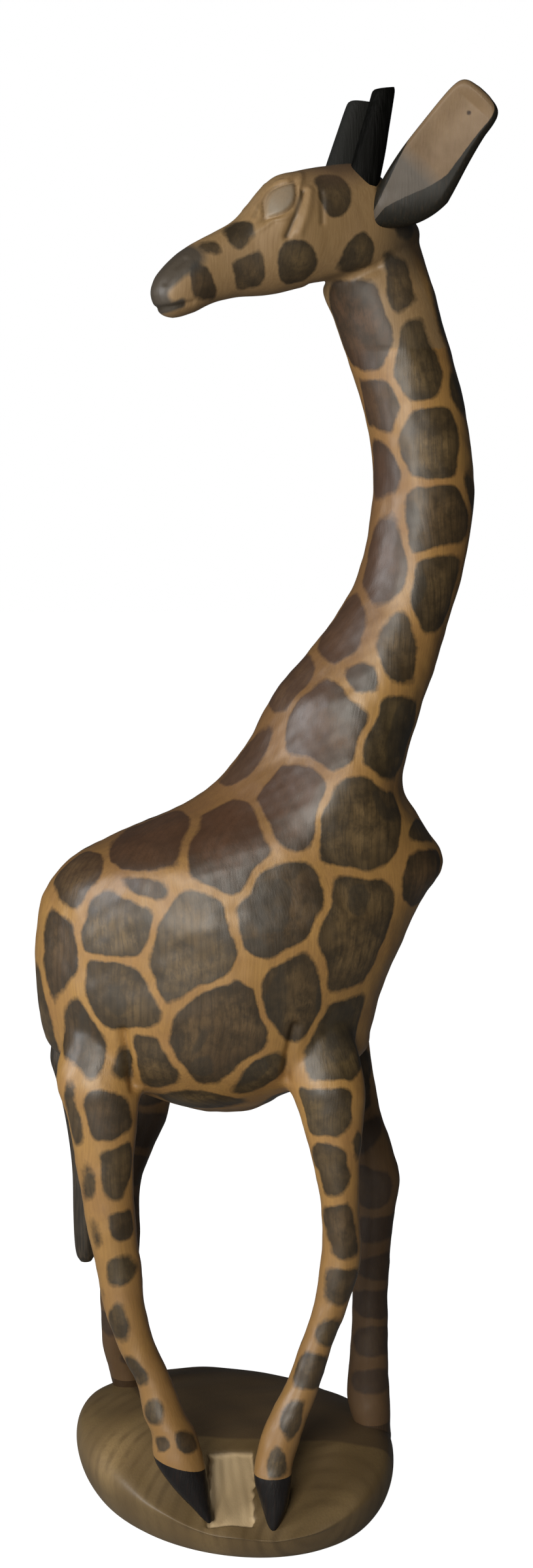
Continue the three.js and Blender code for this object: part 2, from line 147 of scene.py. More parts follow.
MM = 0.001
BELLY = 226  # height of the underside of the belly
NECK_FOOT = 450
HEAD_LOWEST = 630  # the chin is a little above this height
POLL = np.array([80, 5, 697])
HEAD_TURN = radians(25)
HEAD_DROP = radians(18)
AHEAD = np.array([
    -cos(HEAD_TURN) * cos(HEAD_DROP), -sin(HEAD_TURN) * cos(HEAD_DROP), -sin(HEAD_DROP)])
LEFTWARD = np.array([sin(HEAD_TURN), -cos(HEAD_TURN), 0])
CROWNWARD = -np.cross(LEFTWARD, AHEAD)
HEAD_AXES = np.array([AHEAD, LEFTWARD, CROWNWARD])

# Height, back, front, middle y, half depth, egg (above 0 narrows the back), corner
TRUNK = [
    [226, -22, 8, 0, 6, 0, 1],
    [232, -38, 20, 0, 19, 0, 1],
    [239, -54, 30, 0, 32, 0, 1],
    [250, -80, 55, 0, 45, 0, 1],
    [261, -98, 70, 0, 53, 0, 1],
    [272, -104, 72, 0, 57, 0, 1],
    [294, -107, 78, 0, 61, 0, 1],
    [315, -107.7, 86, 0, 62, 0.05, 1],
    [337, -105.3, 96, 0, 62, 0.05, 1],
    [348, -101.6, 102, 0, 60, 0, 1],
    [358, -94.5, 108.7, 0, 58, -0.08, 1],
    [368, -82, 109, 0, 56, -0.12, 1],
    [379, -59.8, 102, 0, 53, 0, 1],
    [390, -34.4, 94.5, 0, 49.6, 0.15, 1],
    [400, -17.7, 88.5, 0, 47, 0.3, 1],
    [411, -5.9, 88, 0, 44.6, 0.35, 1],
    [422, 3.1, 90.3, 0, 42, 0.35, 1],
    [432, 9.3, 93, 0, 39.7, 0.3, 1],
    [442, 13.8, 96.3, 0, 37.2, 0.25, 1],
    [453, 20.3, 99.6, 0, 36, 0.2, 1],
    [463, 27.8, 103, 0.3, 34, 0.2, 1],
    [484, 45.6, 109, 0.7, 30.5, 0.15, 1],
    [504, 59, 115, 1.1, 28, 0.1, 1],
    [525, 66.5, 120, 1.5, 26.5, 0.05, 1],
    [545, 70, 123, 1.9, 25.5, 0, 1],
    [565, 71.3, 123.4, 2.3, 25, 0, 1],
    [585, 69, 121, 2.7, 24.5, 0, 1],
    [605, 64.5, 117.5, 3.1, 24, 0, 1],
    [625, 57.5, 112, 3.5, 23.5, 0, 1],
    [645, 50.5, 106, 4, 23, 0, 1],
    [664, 45, 100, 4.4, 21, 0, 1],
    [694, 62, 90, 5, 12, 0, 1],
]

# Distance ahead of the poll, jaw, brow, middle, half width, egg, corner, along the head's own axes
HEAD = [
    [-9, -14, -7, 0, 7, 0, 1],
    [-5, -20, 3, 0, 12.5, 0, 1],
    [3, -24, 19, 0, 17.6, 0, 0.9],
    [14, -24.5, 30, 0, 19.8, 0, 0.8],
    [31, -24, 33.6, 0, 21, 0, 0.8],
    [46, -21.4, 35.6, 0, 21.6, 0, 0.9],
    [57, -20, 36.2, 0, 22, 0, 0.95],
    [67, -19, 32.2, 0, 21, 0, 0.95],
    [76.5, -18, 26.2, 0, 19, 0, 0.95],
    [86, -16.2, 21.7, 0, 16.5, 0, 0.95],
    [97, -13.7, 19.6, 0, 14.7, 0, 0.92],
    [110, -12.5, 17.4, 0, 13.9, 0, 0.9],
    [122, -14, 14.2, 0, 13.2, 0, 0.9],
    [132, -13.4, 9.2, 0, 11, 0, 0.9],
    [137, -9.7, 4.4, 0, 7.3, 0, 1],
    [139, -3.4, 1.2, 0, 2.2, 0, 1],
]

# Height, x, y, half length, half depth of each leg, from inside the body down into the base
LEGS = {
    "hindleg_right": [
        [301, -67, -27, 14, 10], [257, -72, -36, 22.4, 16], [237, -69.8, -40, 19.3, 14],
        [216, -69, -41, 16.3, 13], [195, -67.6, -42, 14.1, 12], [174, -65.5, -43, 12.9, 11.5],
        [153, -61.9, -44, 11.9, 11], [134, -59, -46, 11, 10.5], [113, -52.9, -48, 10, 10],
        [94, -43.8, -51, 9.5, 10], [77, -38.2, -54, 10.9, 11], [67, -32.9, -56, 11.8, 11.5],
        [54, -30.1, -59, 13.1, 11.5], [37, -22.8, -62, 8.6, 9], [22, -13.8, -66, 2.1, 5],
    ],
    "foreleg_right": [
        [301, 41, -27, 12, 10], [265, 44, -34, 21, 14.5], [248, 48.5, -39, 20.3, 14.5],
        [227, 51.2, -41, 15.5, 13], [206, 52.9, -42, 12, 11.5], [184, 54.7, -42, 10, 10.8],
        [163, 55.7, -42, 10.6, 10.5], [149, 54.1, -43, 10.4, 10.2], [131, 49.3, -45, 8.9, 9.5],
        [111, 42.1, -48, 8.3, 9], [90, 34.9, -51, 9.4, 9.5], [70, 25.5, -55, 10.4, 10],
        [53, 20.4, -58, 10.3, 10], [44, 19.5, -61, 10.2, 9.5], [30, 20.3, -64, 6.9, 8],
        [18, 19.6, -68, 2.2, 5],
    ],
    "hindleg_left": [
        [301, -46, 25, 14, 10], [267, -46, 30, 19, 16], [237, -48.5, 32, 14.6, 15],
        [214, -50.9, 34, 12.4, 13], [190, -60.6, 36, 12.3, 12], [166, -66.2, 39, 10.9, 11],
        [134, -67.2, 43, 11.5, 10.5], [95, -69.2, 49, 10, 9.8], [67, -69.5, 53, 9.1, 9.6],
        [54, -66, 55, 9.5, 9.8], [38, -62.1, 58, 9.9, 10], [24, -62, 58, 8.5, 9],
    ],
    "foreleg_left": [
        [301, 50, 25, 12, 10], [267, 54.5, 28.5, 17, 15], [247, 61.7, 25, 12.3, 14],
        [217, 68.1, 24, 11.4, 12.5], [195, 73.4, 22, 13, 12], [181, 76.8, 20, 12.9, 11.5],
        [162, 76.2, 18, 11.1, 11], [141, 74.3, 15, 10.4, 10.5], [119, 73.8, 13, 9.7, 10],
        [86, 73, 10, 10.6, 10.5], [63, 72.5, 8, 11.8, 11.5], [49, 73.9, 6, 11.1, 11.5],
        [34, 77.1, 4, 8.4, 10], [24, 77, 4, 7, 8],
    ],
}


def smooth_rows(rows, count):
    """Rows read along a Catmull-Rom curve: between rows b and c, with neighbours a and d, a row is
    b + t(c - a)/2 + t^2 (a - 5b/2 + 2c - d/2) + t^3 (3b/2 - 3c/2 + d/2 - a/2), t from 0 to 1."""
    rows = np.asarray(rows, float)
    padded = np.vstack([2 * rows[0] - rows[1], rows, 2 * rows[-1] - rows[-2]])
    place = np.linspace(0, len(rows) - 1, count)
    first = np.minimum(place.astype(int), len(rows) - 2)
    t = (place - first)[:, None]
    a, b, c, d = (padded[first + step] for step in range(4))
    curve = b + t * (c - a) / 2 + t**2 * (a - 2.5 * b + 2 * c - d / 2)
    return curve + t**3 * (1.5 * (b - c) + (d - a) / 2)


def ring_faces(rings, around):
    """Quads between neighbouring rings of points, closed round each ring."""
    ring, side = np.meshgrid(np.arange(rings - 1), np.arange(around), indexing="ij")
    a = ring * around + side
    b = ring * around + (side + 1) % around
    return np.stack([a, b, b + around, a + around], -1).reshape(-1, 4)


def closed_mesh(grid):
    """Points and faces of a closed skin through a grid of rings, with a fan to the middle of each end."""
    rings, around, _ = grid.shape
    points = np.vstack([grid.reshape(-1, 3), grid[0].mean(0), grid[-1].mean(0)])
    side = np.arange(around)
    after = (side + 1) % around
    last = (rings - 1) * around
    faces = ring_faces(rings, around).tolist()
    faces += np.stack([after, side, np.full(around, rings * around)], 1).tolist()
    faces += np.stack([last + side, last + after, np.full(around, rings * around + 1)], 1).tolist()
    return points, faces


def round_shares(around, corner):
    """Cosine and sine of evenly spaced angles, raised to the power corner and keeping their signs."""
    angle = np.linspace(0, 2 * np.pi, around, endpoint=False)[None]
    return [np.sign(wave) * np.abs(wave) ** corner for wave in (np.cos(angle), np.sin(angle))]


def ovals(rows, count, around=96):
    """Ovals stacked on the third axis: at angle q, with C and S the cosine and sine of q raised to the
    power corner and keeping their signs, x is the middle of back and front plus C half lengths, and y
    is the middle y plus S half depths times (1 + egg C)."""
    height, back, front, middle, depth, egg, corner = smooth_rows(rows, count).T[:, :, None]
    along, out = round_shares(around, corner)
    x = (back + front) / 2 + (front - back) / 2 * along
    y = middle + depth * out * (1 + egg * along)
    return np.stack([x, y, np.broadcast_to(height, x.shape)], -1)


def upright_ovals(rows, count, around):
    """Ovals along an upright or leaning limb, from rows of height, x, y, half length and half depth."""
    return ovals([[z, x - long, x + long, y, deep, 0, 1] for z, x, y, long, deep in rows], count, around)


def add_piece(name, points, faces):
    """A new object at the origin with its mesh in metres."""
    mesh = bpy.data.meshes.new(name)
    mesh.from_pydata(np.asarray(points) * MM, [], faces)
    mesh.shade_smooth()
    piece = bpy.data.objects.new(name, mesh)
    bpy.context.scene.collection.objects.link(piece)
    return piece


def read_values(items, name, width=1, kind=float):
    """One property of a mesh's points, edges, faces or face corners as an array."""
    values = np.empty(len(items) * width, kind)
    items.foreach_get(name, values)
    return values.reshape(-1, width) if width > 1 else values


def mesh_points(mesh):
    """The mesh's points as an array in millimetres."""
    return read_values(mesh.vertices, "co", 3) / MM


def move_points(mesh, points):
    """Puts the mesh's points where the array has them."""
    mesh.vertices.foreach_set("co", (points * MM).ravel())
    mesh.update()


def store_mark(mesh, name, values):
    """Keeps one value for each point, for the materials to read."""
    mesh.attributes.new(name, "FLOAT", "POINT").data.foreach_set("value", values)


head_grid = ovals(HEAD, 90)
head_grid = (
    POLL + head_grid[..., 2:] * AHEAD + head_grid[..., 1:2] * LEFTWARD + head_grid[..., :1] * CROWNWARD
)
log_points = []
log_faces = []
drawn = [ovals(TRUNK, 220, 128), head_grid]
drawn += [upright_ovals(rows, 110, 64) for rows in LEGS.values()]
for grid in drawn:
    points, faces = closed_mesh(grid)
    shift = sum(len(block) for block in log_points)
    log_points.append(points)
    log_faces += [[corner + shift for corner in face] for face in faces]
log = add_piece("log", np.vstack(log_points), log_faces)

VOXEL = 1.5  # size of the faces of the melted skin
FINE_FROM = 640  # faces of the head above this height are split once more
melt = log.modifiers.new("melt", "REMESH")
melt.mode = "VOXEL"
melt.voxel_size = VOXEL * MM
melted = bpy.data.meshes.new_from_object(log.evaluated_get(bpy.context.evaluated_depsgraph_get()))
bpy.data.objects.remove(log)


def head_place(points):
    """Points along the head's own axes: ahead of the poll, to its left, and up."""
    return (points - POLL) @ HEAD_AXES.T


def split_finer(mesh, chosen):
    """Halves every edge of the chosen points' faces, so that fine tool marks have points to use."""
    shape = bmesh.new()
    shape.from_mesh(mesh)
    shape.verts.ensure_lookup_table()
    edges = [edge for edge in shape.edges if chosen[edge.verts[0].index] and chosen[edge.verts[1].index]]
    bmesh.ops.subdivide_edges(shape, edges=edges, cuts=1, use_grid_fill=True)
    shape.to_mesh(mesh)
    shape.free()


points = mesh_points(melted)
split_finer(melted, (points[:, 2] > FINE_FROM) & (head_place(points)[:, 0] > -6))


def soften(mesh, points, weight, rounds):
    """Moves every point by its weight towards the mean of its neighbours, rounds times."""
    edges = read_values(mesh.edges, "vertices", 2, int)
    ends = np.concatenate([edges, edges[:, ::-1]])
    near = np.bincount(ends[:, 0], minlength=len(points))
    for _ in range(rounds):
        total = [np.bincount(ends[:, 0], points[ends[:, 1], axis], len(points)) for axis in range(3)]
        points = points + weight[:, None] * (np.stack(total, 1) / near[:, None] - points)
    return points


def bump(value, middle, reach):
    """1 at the middle, falling off as a bell over the reach."""
    return np.exp(-(((value - middle) / reach) ** 2))


def fade(value, start, reach):
    """0 up to the start, then a straight rise to 1 over the reach; a reach below 0 goes the other way."""
    return np.clip((value - start) / reach, 0, 1)


def line_nearness(flat, path, width):
    """1 on a path of straight lines in a plane, falling off as a bell over the width beside it."""
    gap = np.full(len(flat), 1e9)
    for start, end in zip(np.array(path[:-1], float), np.array(path[1:], float)):
        run = end - start
        share = np.clip((flat - start) @ run / (run @ run), 0, 1)
        gap = np.minimum(gap, np.linalg.norm(flat - start - share[:, None] * run, axis=1))
    return np.exp(-((gap / width) ** 2))


points = mesh_points(melted)
points = soften(melted, points, np.full(len(points), 0.5), 3)
hips = bump(points[:, 2], 243, 26) * (np.abs(points[:, 1]) > 8)
throat = bump(np.linalg.norm(points - (POLL + AHEAD * 42 - CROWNWARD * 21), axis=1), 0, 20)
points = soften(melted, points, 0.8 * np.clip(hips + 0.8 * throat, 0, 1), 22)


def sine_noise(points, wavelength, seed):
    """Seven sine waves in random directions, added up: smooth noise from about -1 to 1."""
    random = np.random.default_rng(seed)
    total = np.zeros(len(points))
    for _ in range(7):
        direction = random.normal(size=3)
        direction *= 2 * np.pi / wavelength / np.linalg.norm(direction) * random.uniform(0.7, 1.4)
        total += np.sin(points @ direction + random.uniform(0, 2 * np.pi))
    return total / 3.5


EYE = (65.5, 25)  # ahead of the poll and up, as for the lines below
EYE_HALF_LENGTH = 11
EYE_HALF_HEIGHT = 4.6
EYE_LEAN = radians(30)
LID_LINE = [(54, 25.5), (62.5, 16.5), (70, 8)]
TEMPLE_LINE = [(45, 22), (50, 9)]
NOSTRIL_LINE = [(134, 4.5), (128, 10), (121, 12.5)]


def read_head(points):
    """Places along the head's own axes, the same seen from the side, how far a point counts as head
    and as cheek (0 to 1), and its distance from the middle of the eye, 1 on the eye's outline: the
    hypotenuse of the share along the eye, e, and the place across it over 1.05 - 0.6 e^2 half heights."""
    head = head_place(points)
    side = head[:, ::2]
    on_head = fade(head[:, 0], -2, 8) * (points[:, 2] > HEAD_LOWEST)
    cheek = on_head * fade(np.abs(head[:, 1]), 5, 4)
    along = (side - EYE) @ [cos(EYE_LEAN), -sin(EYE_LEAN)] / EYE_HALF_LENGTH
    across = (side - EYE) @ [sin(EYE_LEAN), cos(EYE_LEAN)]
    eye_reach = np.hypot(along, across / (EYE_HALF_HEIGHT * (1.05 - 0.6 * np.clip(along, -1, 1) ** 2)))
    return head, side, on_head, cheek, eye_reach


# Tool marks, as heights in millimetres along the skin: broad gouge flats, then the creases of thigh,
# shoulder and jaw, and on the head the eyes, lids, nostrils and mouth, the same on both sides
head, side, on_head, cheek, eye_reach = read_head(points)
flank = points[:, ::2]
outer = fade(np.abs(points[:, 1]), 18, 10)
eye = cheek * fade(eye_reach, 1.15, -0.3)
lid = cheek * line_nearness(side, LID_LINE, 1.7)
temple = cheek * line_nearness(side, TEMPLE_LINE, 1.6)
nostril = cheek * line_nearness(side, NOSTRIL_LINE, 1.5)
mouth = on_head * line_nearness(side, [(142, -6), (134, -7.5), (124, -8.5)], 1.3)
jaw = line_nearness(side, [(57, -20.5), (43, -20.8), (24, -21)], 2.6) * (points[:, 2] > HEAD_LOWEST)
thigh = outer * line_nearness(flank, [(-58, 283), (-56, 268), (-52, 252)], 2.4)
shoulder = outer * line_nearness(flank, [(31, 286), (28, 272), (26, 256)], 2.6)
height = 0.32 * sine_noise(points, 26, 4) + 0.12 * sine_noise(points, 9, 5)
height = height * (1 - 0.5 * on_head)
height += 0.9 * eye * np.sqrt(np.clip(1 - eye_reach**2, 0, 1)) - 0.9 * cheek * bump(eye_reach, 1.15, 0.16)
height += 0.7 * cheek * bump(eye_reach, 1.75, 0.35)
height += 0.9 * cheek * line_nearness(side, [(50, 25), (57, 15), (63, 8)], 2.2)
height -= 1.3 * lid + 0.9 * temple + 1.0 * nostril + 0.8 * mouth + 1.2 * jaw
height -= 4.2 * thigh + 3.2 * shoulder
move_points(melted, points)
points = points + height[:, None] * read_values(melted.vertex_normals, "vector", 3)
move_points(melted, points)

# Where the CAD pieces meet: a point of each plane, its normal, and the part of the skin it cuts
THROAT = POLL + 43.8 * AHEAD - 23.9 * CROWNWARD
NAPE = POLL - 13.2 * AHEAD - 9.1 * CROWNWARD
COLLAR = np.cross(LEFTWARD, NAPE - THROAT)
COLLAR /= np.linalg.norm(COLLAR)
COLLAR_LOWEST = 600  # the collar's plane cuts nothing below this height
CUT_REACH = 4  # how far from a level plane faces are looked at for cutting
HOOF_HIGHEST = 75  # the hooves are parted from the legs below this height
SIDES_PART = -17  # y between the right legs and the left ones
HOOF_TOPS = {  # height of the upper edge at the leg's middle, x there, and its fall towards +X
    "hindleg_right": (53, -31, 0.25),
    "foreleg_right": (46.5, 20, 0),
    "hindleg_left": (49, -66, 0),
    "foreleg_left": (46, 74, 0),
}


def divide(shape, point, normal, keep):
    """Cuts the faces whose middle passes keep along a plane."""
    faces = [face for face in shape.faces if keep(face.calc_center_median() / MM)]
    parts = {item for face in faces for item in (face, *face.edges, *face.verts)}
    spot = [c * MM for c in point]
    bmesh.ops.bisect_plane(shape, geom=list(parts), plane_co=spot, plane_no=list(normal))


def leg_of(x, y):
    """Which leg a point below the belly belongs to, as an index into the legs. The left foreleg
    comes forward past the middle, so the two sides part on the right of it."""
    return np.where(x < 0, 0, 1) + np.where(y < SIDES_PART, 0, 2)


shape = bmesh.new()
shape.from_mesh(melted)
divide(shape, (0, 0, BELLY), (0, 0, 1), lambda c: abs(c.z - BELLY) < CUT_REACH)
divide(shape, (0, 0, NECK_FOOT), (0, 0, 1), lambda c: abs(c.z - NECK_FOOT) < CUT_REACH)
divide(shape, THROAT, COLLAR, lambda c: c.z > COLLAR_LOWEST)
for index, (top, middle, fall) in enumerate(HOOF_TOPS.values()):
    cut = (middle, 0, top), (fall, 0, 1)
    divide(shape, *cut, lambda c: c.z < HOOF_HIGHEST and leg_of(c.x, c.y) == index)
shape.to_mesh(melted)
shape.free()

# Painted patches of the coat: x, z, half width, half height, lean of the top towards the chest in
# degrees, and tone from olive (0) to red-brown (1). They lie on the side on show; the far side has
# the same ones, moved a little.
BODY_PATCHES = [
    [64, 643, 14, 21, -25, 0.9], [84, 660, 9, 14, -20, 0.4], [92, 624, 12, 21, -10, 0.1],
    [74, 601, 10, 16, -20, 0.9], [101, 584, 16, 17, 0, 0.2], [76, 570, 8, 14, 0, 1],
    [102, 544, 17, 16, 0, 0.4], [77, 521, 9, 25, 8, 0.9], [102, 510, 11, 21, 20, 0.2],
    [82, 477, 11, 19, 0, 0.3], [66, 463, 8, 9, 0, 0.8], [56, 488, 10, 16, 30, 0.8],
    [79, 436, 14, 22, 20, 0], [47, 439, 17, 19, 30, 0.7], [27, 459, 10, 14, 40, 0.6],
    [5, 423, 14, 17, 50, 0.6], [30, 401, 16, 22, 15, 0.9], [64, 391, 19, 22, 20, 0.2],
    [98, 361, 11, 15, 30, 0.7], [98, 379, 8, 7, -30, 0.3], [61, 334, 16, 29, 10, 0.3],
    [20, 353, 20, 22, 20, 0.4], [31, 302, 15, 22, 8, 0.3], [55, 278, 14, 21, 20, 0],
    [8, 262, 17, 11, -30, 0], [-10, 283, 24, 26, 20, 0.4], [-22, 330, 19, 29, 20, 0.2],
    [-60, 340, 19, 17, 0, 0.1], [-48, 357, 16, 9, -10, 0.8], [-84, 359, 17, 14, 40, 0.3],
    [-41, 380, 26, 15, 20, 1], [-4, 378, 25, 21, 30, 0.9], [-92, 321, 9, 23, 0, 0.5],
    [-59, 302, 18, 18, -20, 0.2], [-79, 279, 11, 21, -15, 0.4], [-58, 267, 6, 11, 0, 0],
    [-41, 268, 13, 17, -20, 0.3], [-18, 242, 20, 7, 0, 0], [-103, 280, 6, 24, -10, 0.2],
    [113, 608, 7, 20, -12, 0.1], [104, 648, 7, 24, -16, 0], [122, 560, 6, 22, 0, 0.1],
    [99, 676, 9, 14, -8, 0],
    [30, 240, 16, 8, 10, 0],
]
LEG_PATCHES = {  # the same without the tone; those of the left legs go all round them
    "hindleg_right": [
        [-66, 241, 13, 12, 0], [-84, 241, 5, 18, 0], [-62, 210, 10, 14, 5], [-76, 204, 6, 11, 0],
        [-59, 180, 7.5, 8.5, 0], [-73, 174, 4, 10, 0], [-61, 155, 7, 8, 0], [-60, 128, 6, 9.5, 0],
        [-54, 103, 5, 9, -20], [-41, 81, 7, 6, -35], [-40, 64, 5, 4, -35], [-32, 88, 4, 10, -25],
        [-25, 67, 5, 7.5, -20], [-47, 126, 3, 10, -10], [-41, 107, 3, 9, -20], [-70, 148, 3, 8, 0],
    ],
    "foreleg_right": [
        [46, 241, 12, 12, 0], [50, 210, 9.5, 12, -10], [63, 222, 5, 8, -10], [55, 178, 8, 14, -10],
        [55, 146, 8, 10.5, 0], [50, 123, 6, 10, 10], [40, 101, 6.5, 9.5, 20], [30, 77, 6.5, 9.5, 25],
        [21, 57, 5, 8.5, -5], [13, 70, 3, 9, 15], [42, 160, 4, 10, -5],
    ],
    "hindleg_left": [
        [-48, 236, 13, 12, 0], [-52, 208, 11, 10, 0], [-62, 183, 10, 9, 0], [-67, 158, 9, 8, 0],
        [-68, 134, 9, 8, 0], [-69, 110, 8, 8, 0], [-69, 86, 8, 7, 0], [-60, 66, 7, 6, 0],
    ],
    "foreleg_left": [
        [64, 238, 9, 14, 0], [68, 207, 9, 11, 0], [74, 179, 10, 10, 0], [77, 156, 9, 7, 0],
        [76, 134, 9, 8, 0], [75, 112, 9, 6.5, 0], [75, 91, 9, 7.5, 0], [74, 69, 9, 6.5, 0],
    ],
}
# Ahead of the poll, up, half length, half height and tone of the patches on both sides of the head
HEAD_PATCHES = [
    [106, 15, 5, 4, 0.3], [91, 15, 6, 6.5, 0.2], [92, -2, 7, 9, 0.3], [66, -6, 8.6, 8.4, 0.1],
    [35, -13, 8.8, 9.5, 0.1], [39, 19, 8, 7, 0.2], [117, 0, 4.5, 7.5, 0.4], [2, -8, 8, 9, 0.1],
    [5, 10, 9, 7, 0.3],
]
# Small darker strokes inside patches: x, z, half width, half height, lean. The two at (55, 280)
# and (8, 262) cover whole patches low on the flank and are painted shade there
STROKES = [
    [89, 548, 4, 7, 0], [10, 326, 9, 9, 0], [-17, 266, 8, 6, 0], [75, 401, 3.5, 13, -35],
    [22, 303, 4.5, 19, 5], [64, 352, 7, 8, 0], [-61, 300, 5, 9, 0], [66, 463, 8, 9, 0],
    [84, 436, 6, 17, 15], [92, 505, 3, 14, 15], [-18, 280, 2.5, 8, 35], [-79, 284, 3, 10, 0],
    [55, 280, 10, 17, 20], [8, 262, 9, 6, -30], [18, 350, 11, 14, 20], [44, 300, 4, 12, 0],
    [46, 241, 7, 8, 0], [50, 210, 5, 8, -10], [-66, 241, 8, 8, 0],
]
LINE_WIDTH = 2.7  # ochre line left between two patches
ROUNDING = 2.2  # how softly the corners of a patch are turned
SWELL = 1.25  # patches are drawn this much larger, so that neighbours press on each other
LEG_PATCH_DEPTH = 7


def leaned(lean):
    """A patch's own axes, its top leaned towards the chest by lean degrees."""
    turn = radians(lean)
    return [[cos(turn), 0, -sin(turn)], [0, 1, 0], [sin(turn), 0, cos(turn)]]


def patch_rows(patches, side, move, points):
    """Middle, own axes and half sizes of patches on one side of the body. The middle goes out to the
    skin point nearest to it in x and z."""
    rows = []
    beside = points[points[:, 1] * side > 2]
    for x, z, width, rise, lean, tone in patches:
        dx, dz, turn = move()
        x, z = x + dx, z + dz
        y = beside[np.argmin((beside[:, 0] - x) ** 2 + (beside[:, 2] - z) ** 2), 1]
        rows.append(([x, y, z], leaned(lean + turn), [width, max(width, 12), rise], tone))
    return rows


random = np.random.default_rng(21)


def stay():
    """No move: a patch on the side on show."""
    return 0, 0, 0


def shuffle():
    """A small random move in x and z, and a turn in degrees, for the far side's patches."""
    return random.uniform(-7, 7), random.uniform(-8, 8), random.uniform(-15, 15)


points = mesh_points(melted)
trunk_points = points[points[:, 2] > BELLY]
patches = patch_rows(BODY_PATCHES, -1, stay, trunk_points)
patches += patch_rows(BODY_PATCHES, 1, shuffle, trunk_points)
for index, rows in enumerate(LEG_PATCHES.values()):
    leg = points[(points[:, 2] < BELLY + 25) & (leg_of(points[:, 0], points[:, 1]) == index)]
    for x, z, width, rise, lean in rows:
        ring = leg[np.abs(leg[:, 2] - z) < 4, 1]
        if index < 2:
            spots = [([x, ring.min(), z], [width, LEG_PATCH_DEPTH, rise]),
                     ([x, ring.max(), z + 11], [width, LEG_PATCH_DEPTH, rise * 0.9])]
        else:
            spots = [([x, (ring.min() + ring.max()) / 2, z], [width, 2 * LEG_PATCH_DEPTH, rise])]
        patches += [(middle, leaned(lean), sizes, random.uniform(0, 0.5)) for middle, sizes in spots]
for side_sign in (1, -1):
    for ahead, up, length, rise, tone in HEAD_PATCHES:
        near = head[(head[:, 1] * side_sign > 0) & (np.abs(head[:, 0]) < 150)]
        left = near[np.argmin((near[:, 0] - ahead) ** 2 + (near[:, 2] - up) ** 2), 1]
        patches.append((POLL + np.array([ahead, left, up]) @ HEAD_AXES, HEAD_AXES, [length, 9, rise], tone))


def patch_gaps(points, patches):
    """Gap of every point from the painted patches, below 0 inside one, and the index of its patch.
    The gap f of one patch is (s - 1) times its smaller half size, with s the 2.5-power mean of the
    point's place over the swollen half sizes. With f1 the least and f2 the soft least of the others,
    -r log(sum of exp(-f / r)), the gap is the greater of f1 and (f1 - f2 + line width) / 2, so that
    neighbours keep a line between them that widens where three meet."""
    least = np.full(len(points), 1e6)
    crowd = np.zeros(len(points))
    owner = np.zeros(len(points), int)
    for index, (middle, axes, sizes, _) in enumerate(patches):
        place = np.abs((points - middle) @ np.array(axes).T) / np.array(sizes) / SWELL
        gap = ((place**2.5).sum(1) ** 0.4 - 1) * min(sizes[0], sizes[2])
        crowd += np.exp(-gap / ROUNDING)
        closer = gap < least
        owner[closer] = index
        least = np.where(closer, gap, least)
    others = -ROUNDING * np.log(np.clip(crowd - np.exp(-least / ROUNDING), 1e-12, None))
    return np.maximum(least, (least - others + LINE_WIDTH) / 2), owner


def wobble(points, wavelength, seeds, reach):
    """Moves of smooth noise, another on each axis, that make outlines look drawn by hand."""
    return np.stack([sine_noise(points, wavelength, seed) for seed in seeds], 1) * reach


wobbled = points + wobble(points, 30, (11, 12, 13), 2.2)
wobbled += wobble(points, 11, (14, 15, 16), 0.5)
patch_gap, owner = patch_gaps(wobbled, patches)
tone = np.array([row[3] for row in patches])[owner]
darkness = np.random.default_rng(8).uniform(0, 1, len(patches))[owner]
darkness[owner >= len(patches) - 2 * len(HEAD_PATCHES)] = 0
strokes = patch_rows([row + [0] for row in STROKES], -1, stay, trunk_points)
strokes += patch_rows([row + [0] for row in STROKES], 1, shuffle, trunk_points)
stroke_gap = np.full(len(points), 1e6)
for middle, axes, sizes, _ in strokes:
    place = np.abs((wobbled - middle) @ np.array(axes).T) / np.array(sizes)
    stroke_gap = np.minimum(stroke_gap, ((place**2).sum(1) ** 0.5 - 1) * min(sizes[0], sizes[2]))

# Painted marks of the head: grey-white eye and grey nose painted on, and painted shade darkening
# the carved grooves of the eye, lid, temple, nostril and mouth, and a line along the brow
head, side, on_head, cheek, eye_reach = read_head(points)
eye_white = cheek * fade(eye_reach, 1.2, -0.5)
lid = cheek * line_nearness(side, LID_LINE, 1.5)
temple = cheek * line_nearness(side, TEMPLE_LINE, 1.5)
nostril = cheek * line_nearness(side, NOSTRIL_LINE, 1.6)
mouth = on_head * line_nearness(side, [(142, -6), (134, -7.5), (129, -8)], 1.6)
brow = cheek * line_nearness(side, [(64, 33), (73, 28), (80, 21)], 1.5)
# painted shade in the carved grooves round the eye and of the lid, temple, nostril, mouth and brow
groove_shade = 0.4 * cheek * bump(eye_reach, 1.15, 0.14) + 0.7 * lid + 0.45 * temple + 0.6 * nostril
groove_shade = np.clip(groove_shade + 0.9 * mouth + 0.4 * brow, 0, 1)
nose_grey = on_head * np.maximum(
    line_nearness(side, [(138, -3), (135, 4), (127, 9), (118, 13)], 8.6),
    line_nearness(side, [(141, -8), (130, -7)], 3.2),
)
nose_grey *= 1 - 0.9 * line_nearness(side, [(132, -2), (124, 1)], 3.0)
crown = bump(np.linalg.norm((head - [22, 0, 33]) / [2.3, 2.7, 1.15], axis=1), 0, 12)
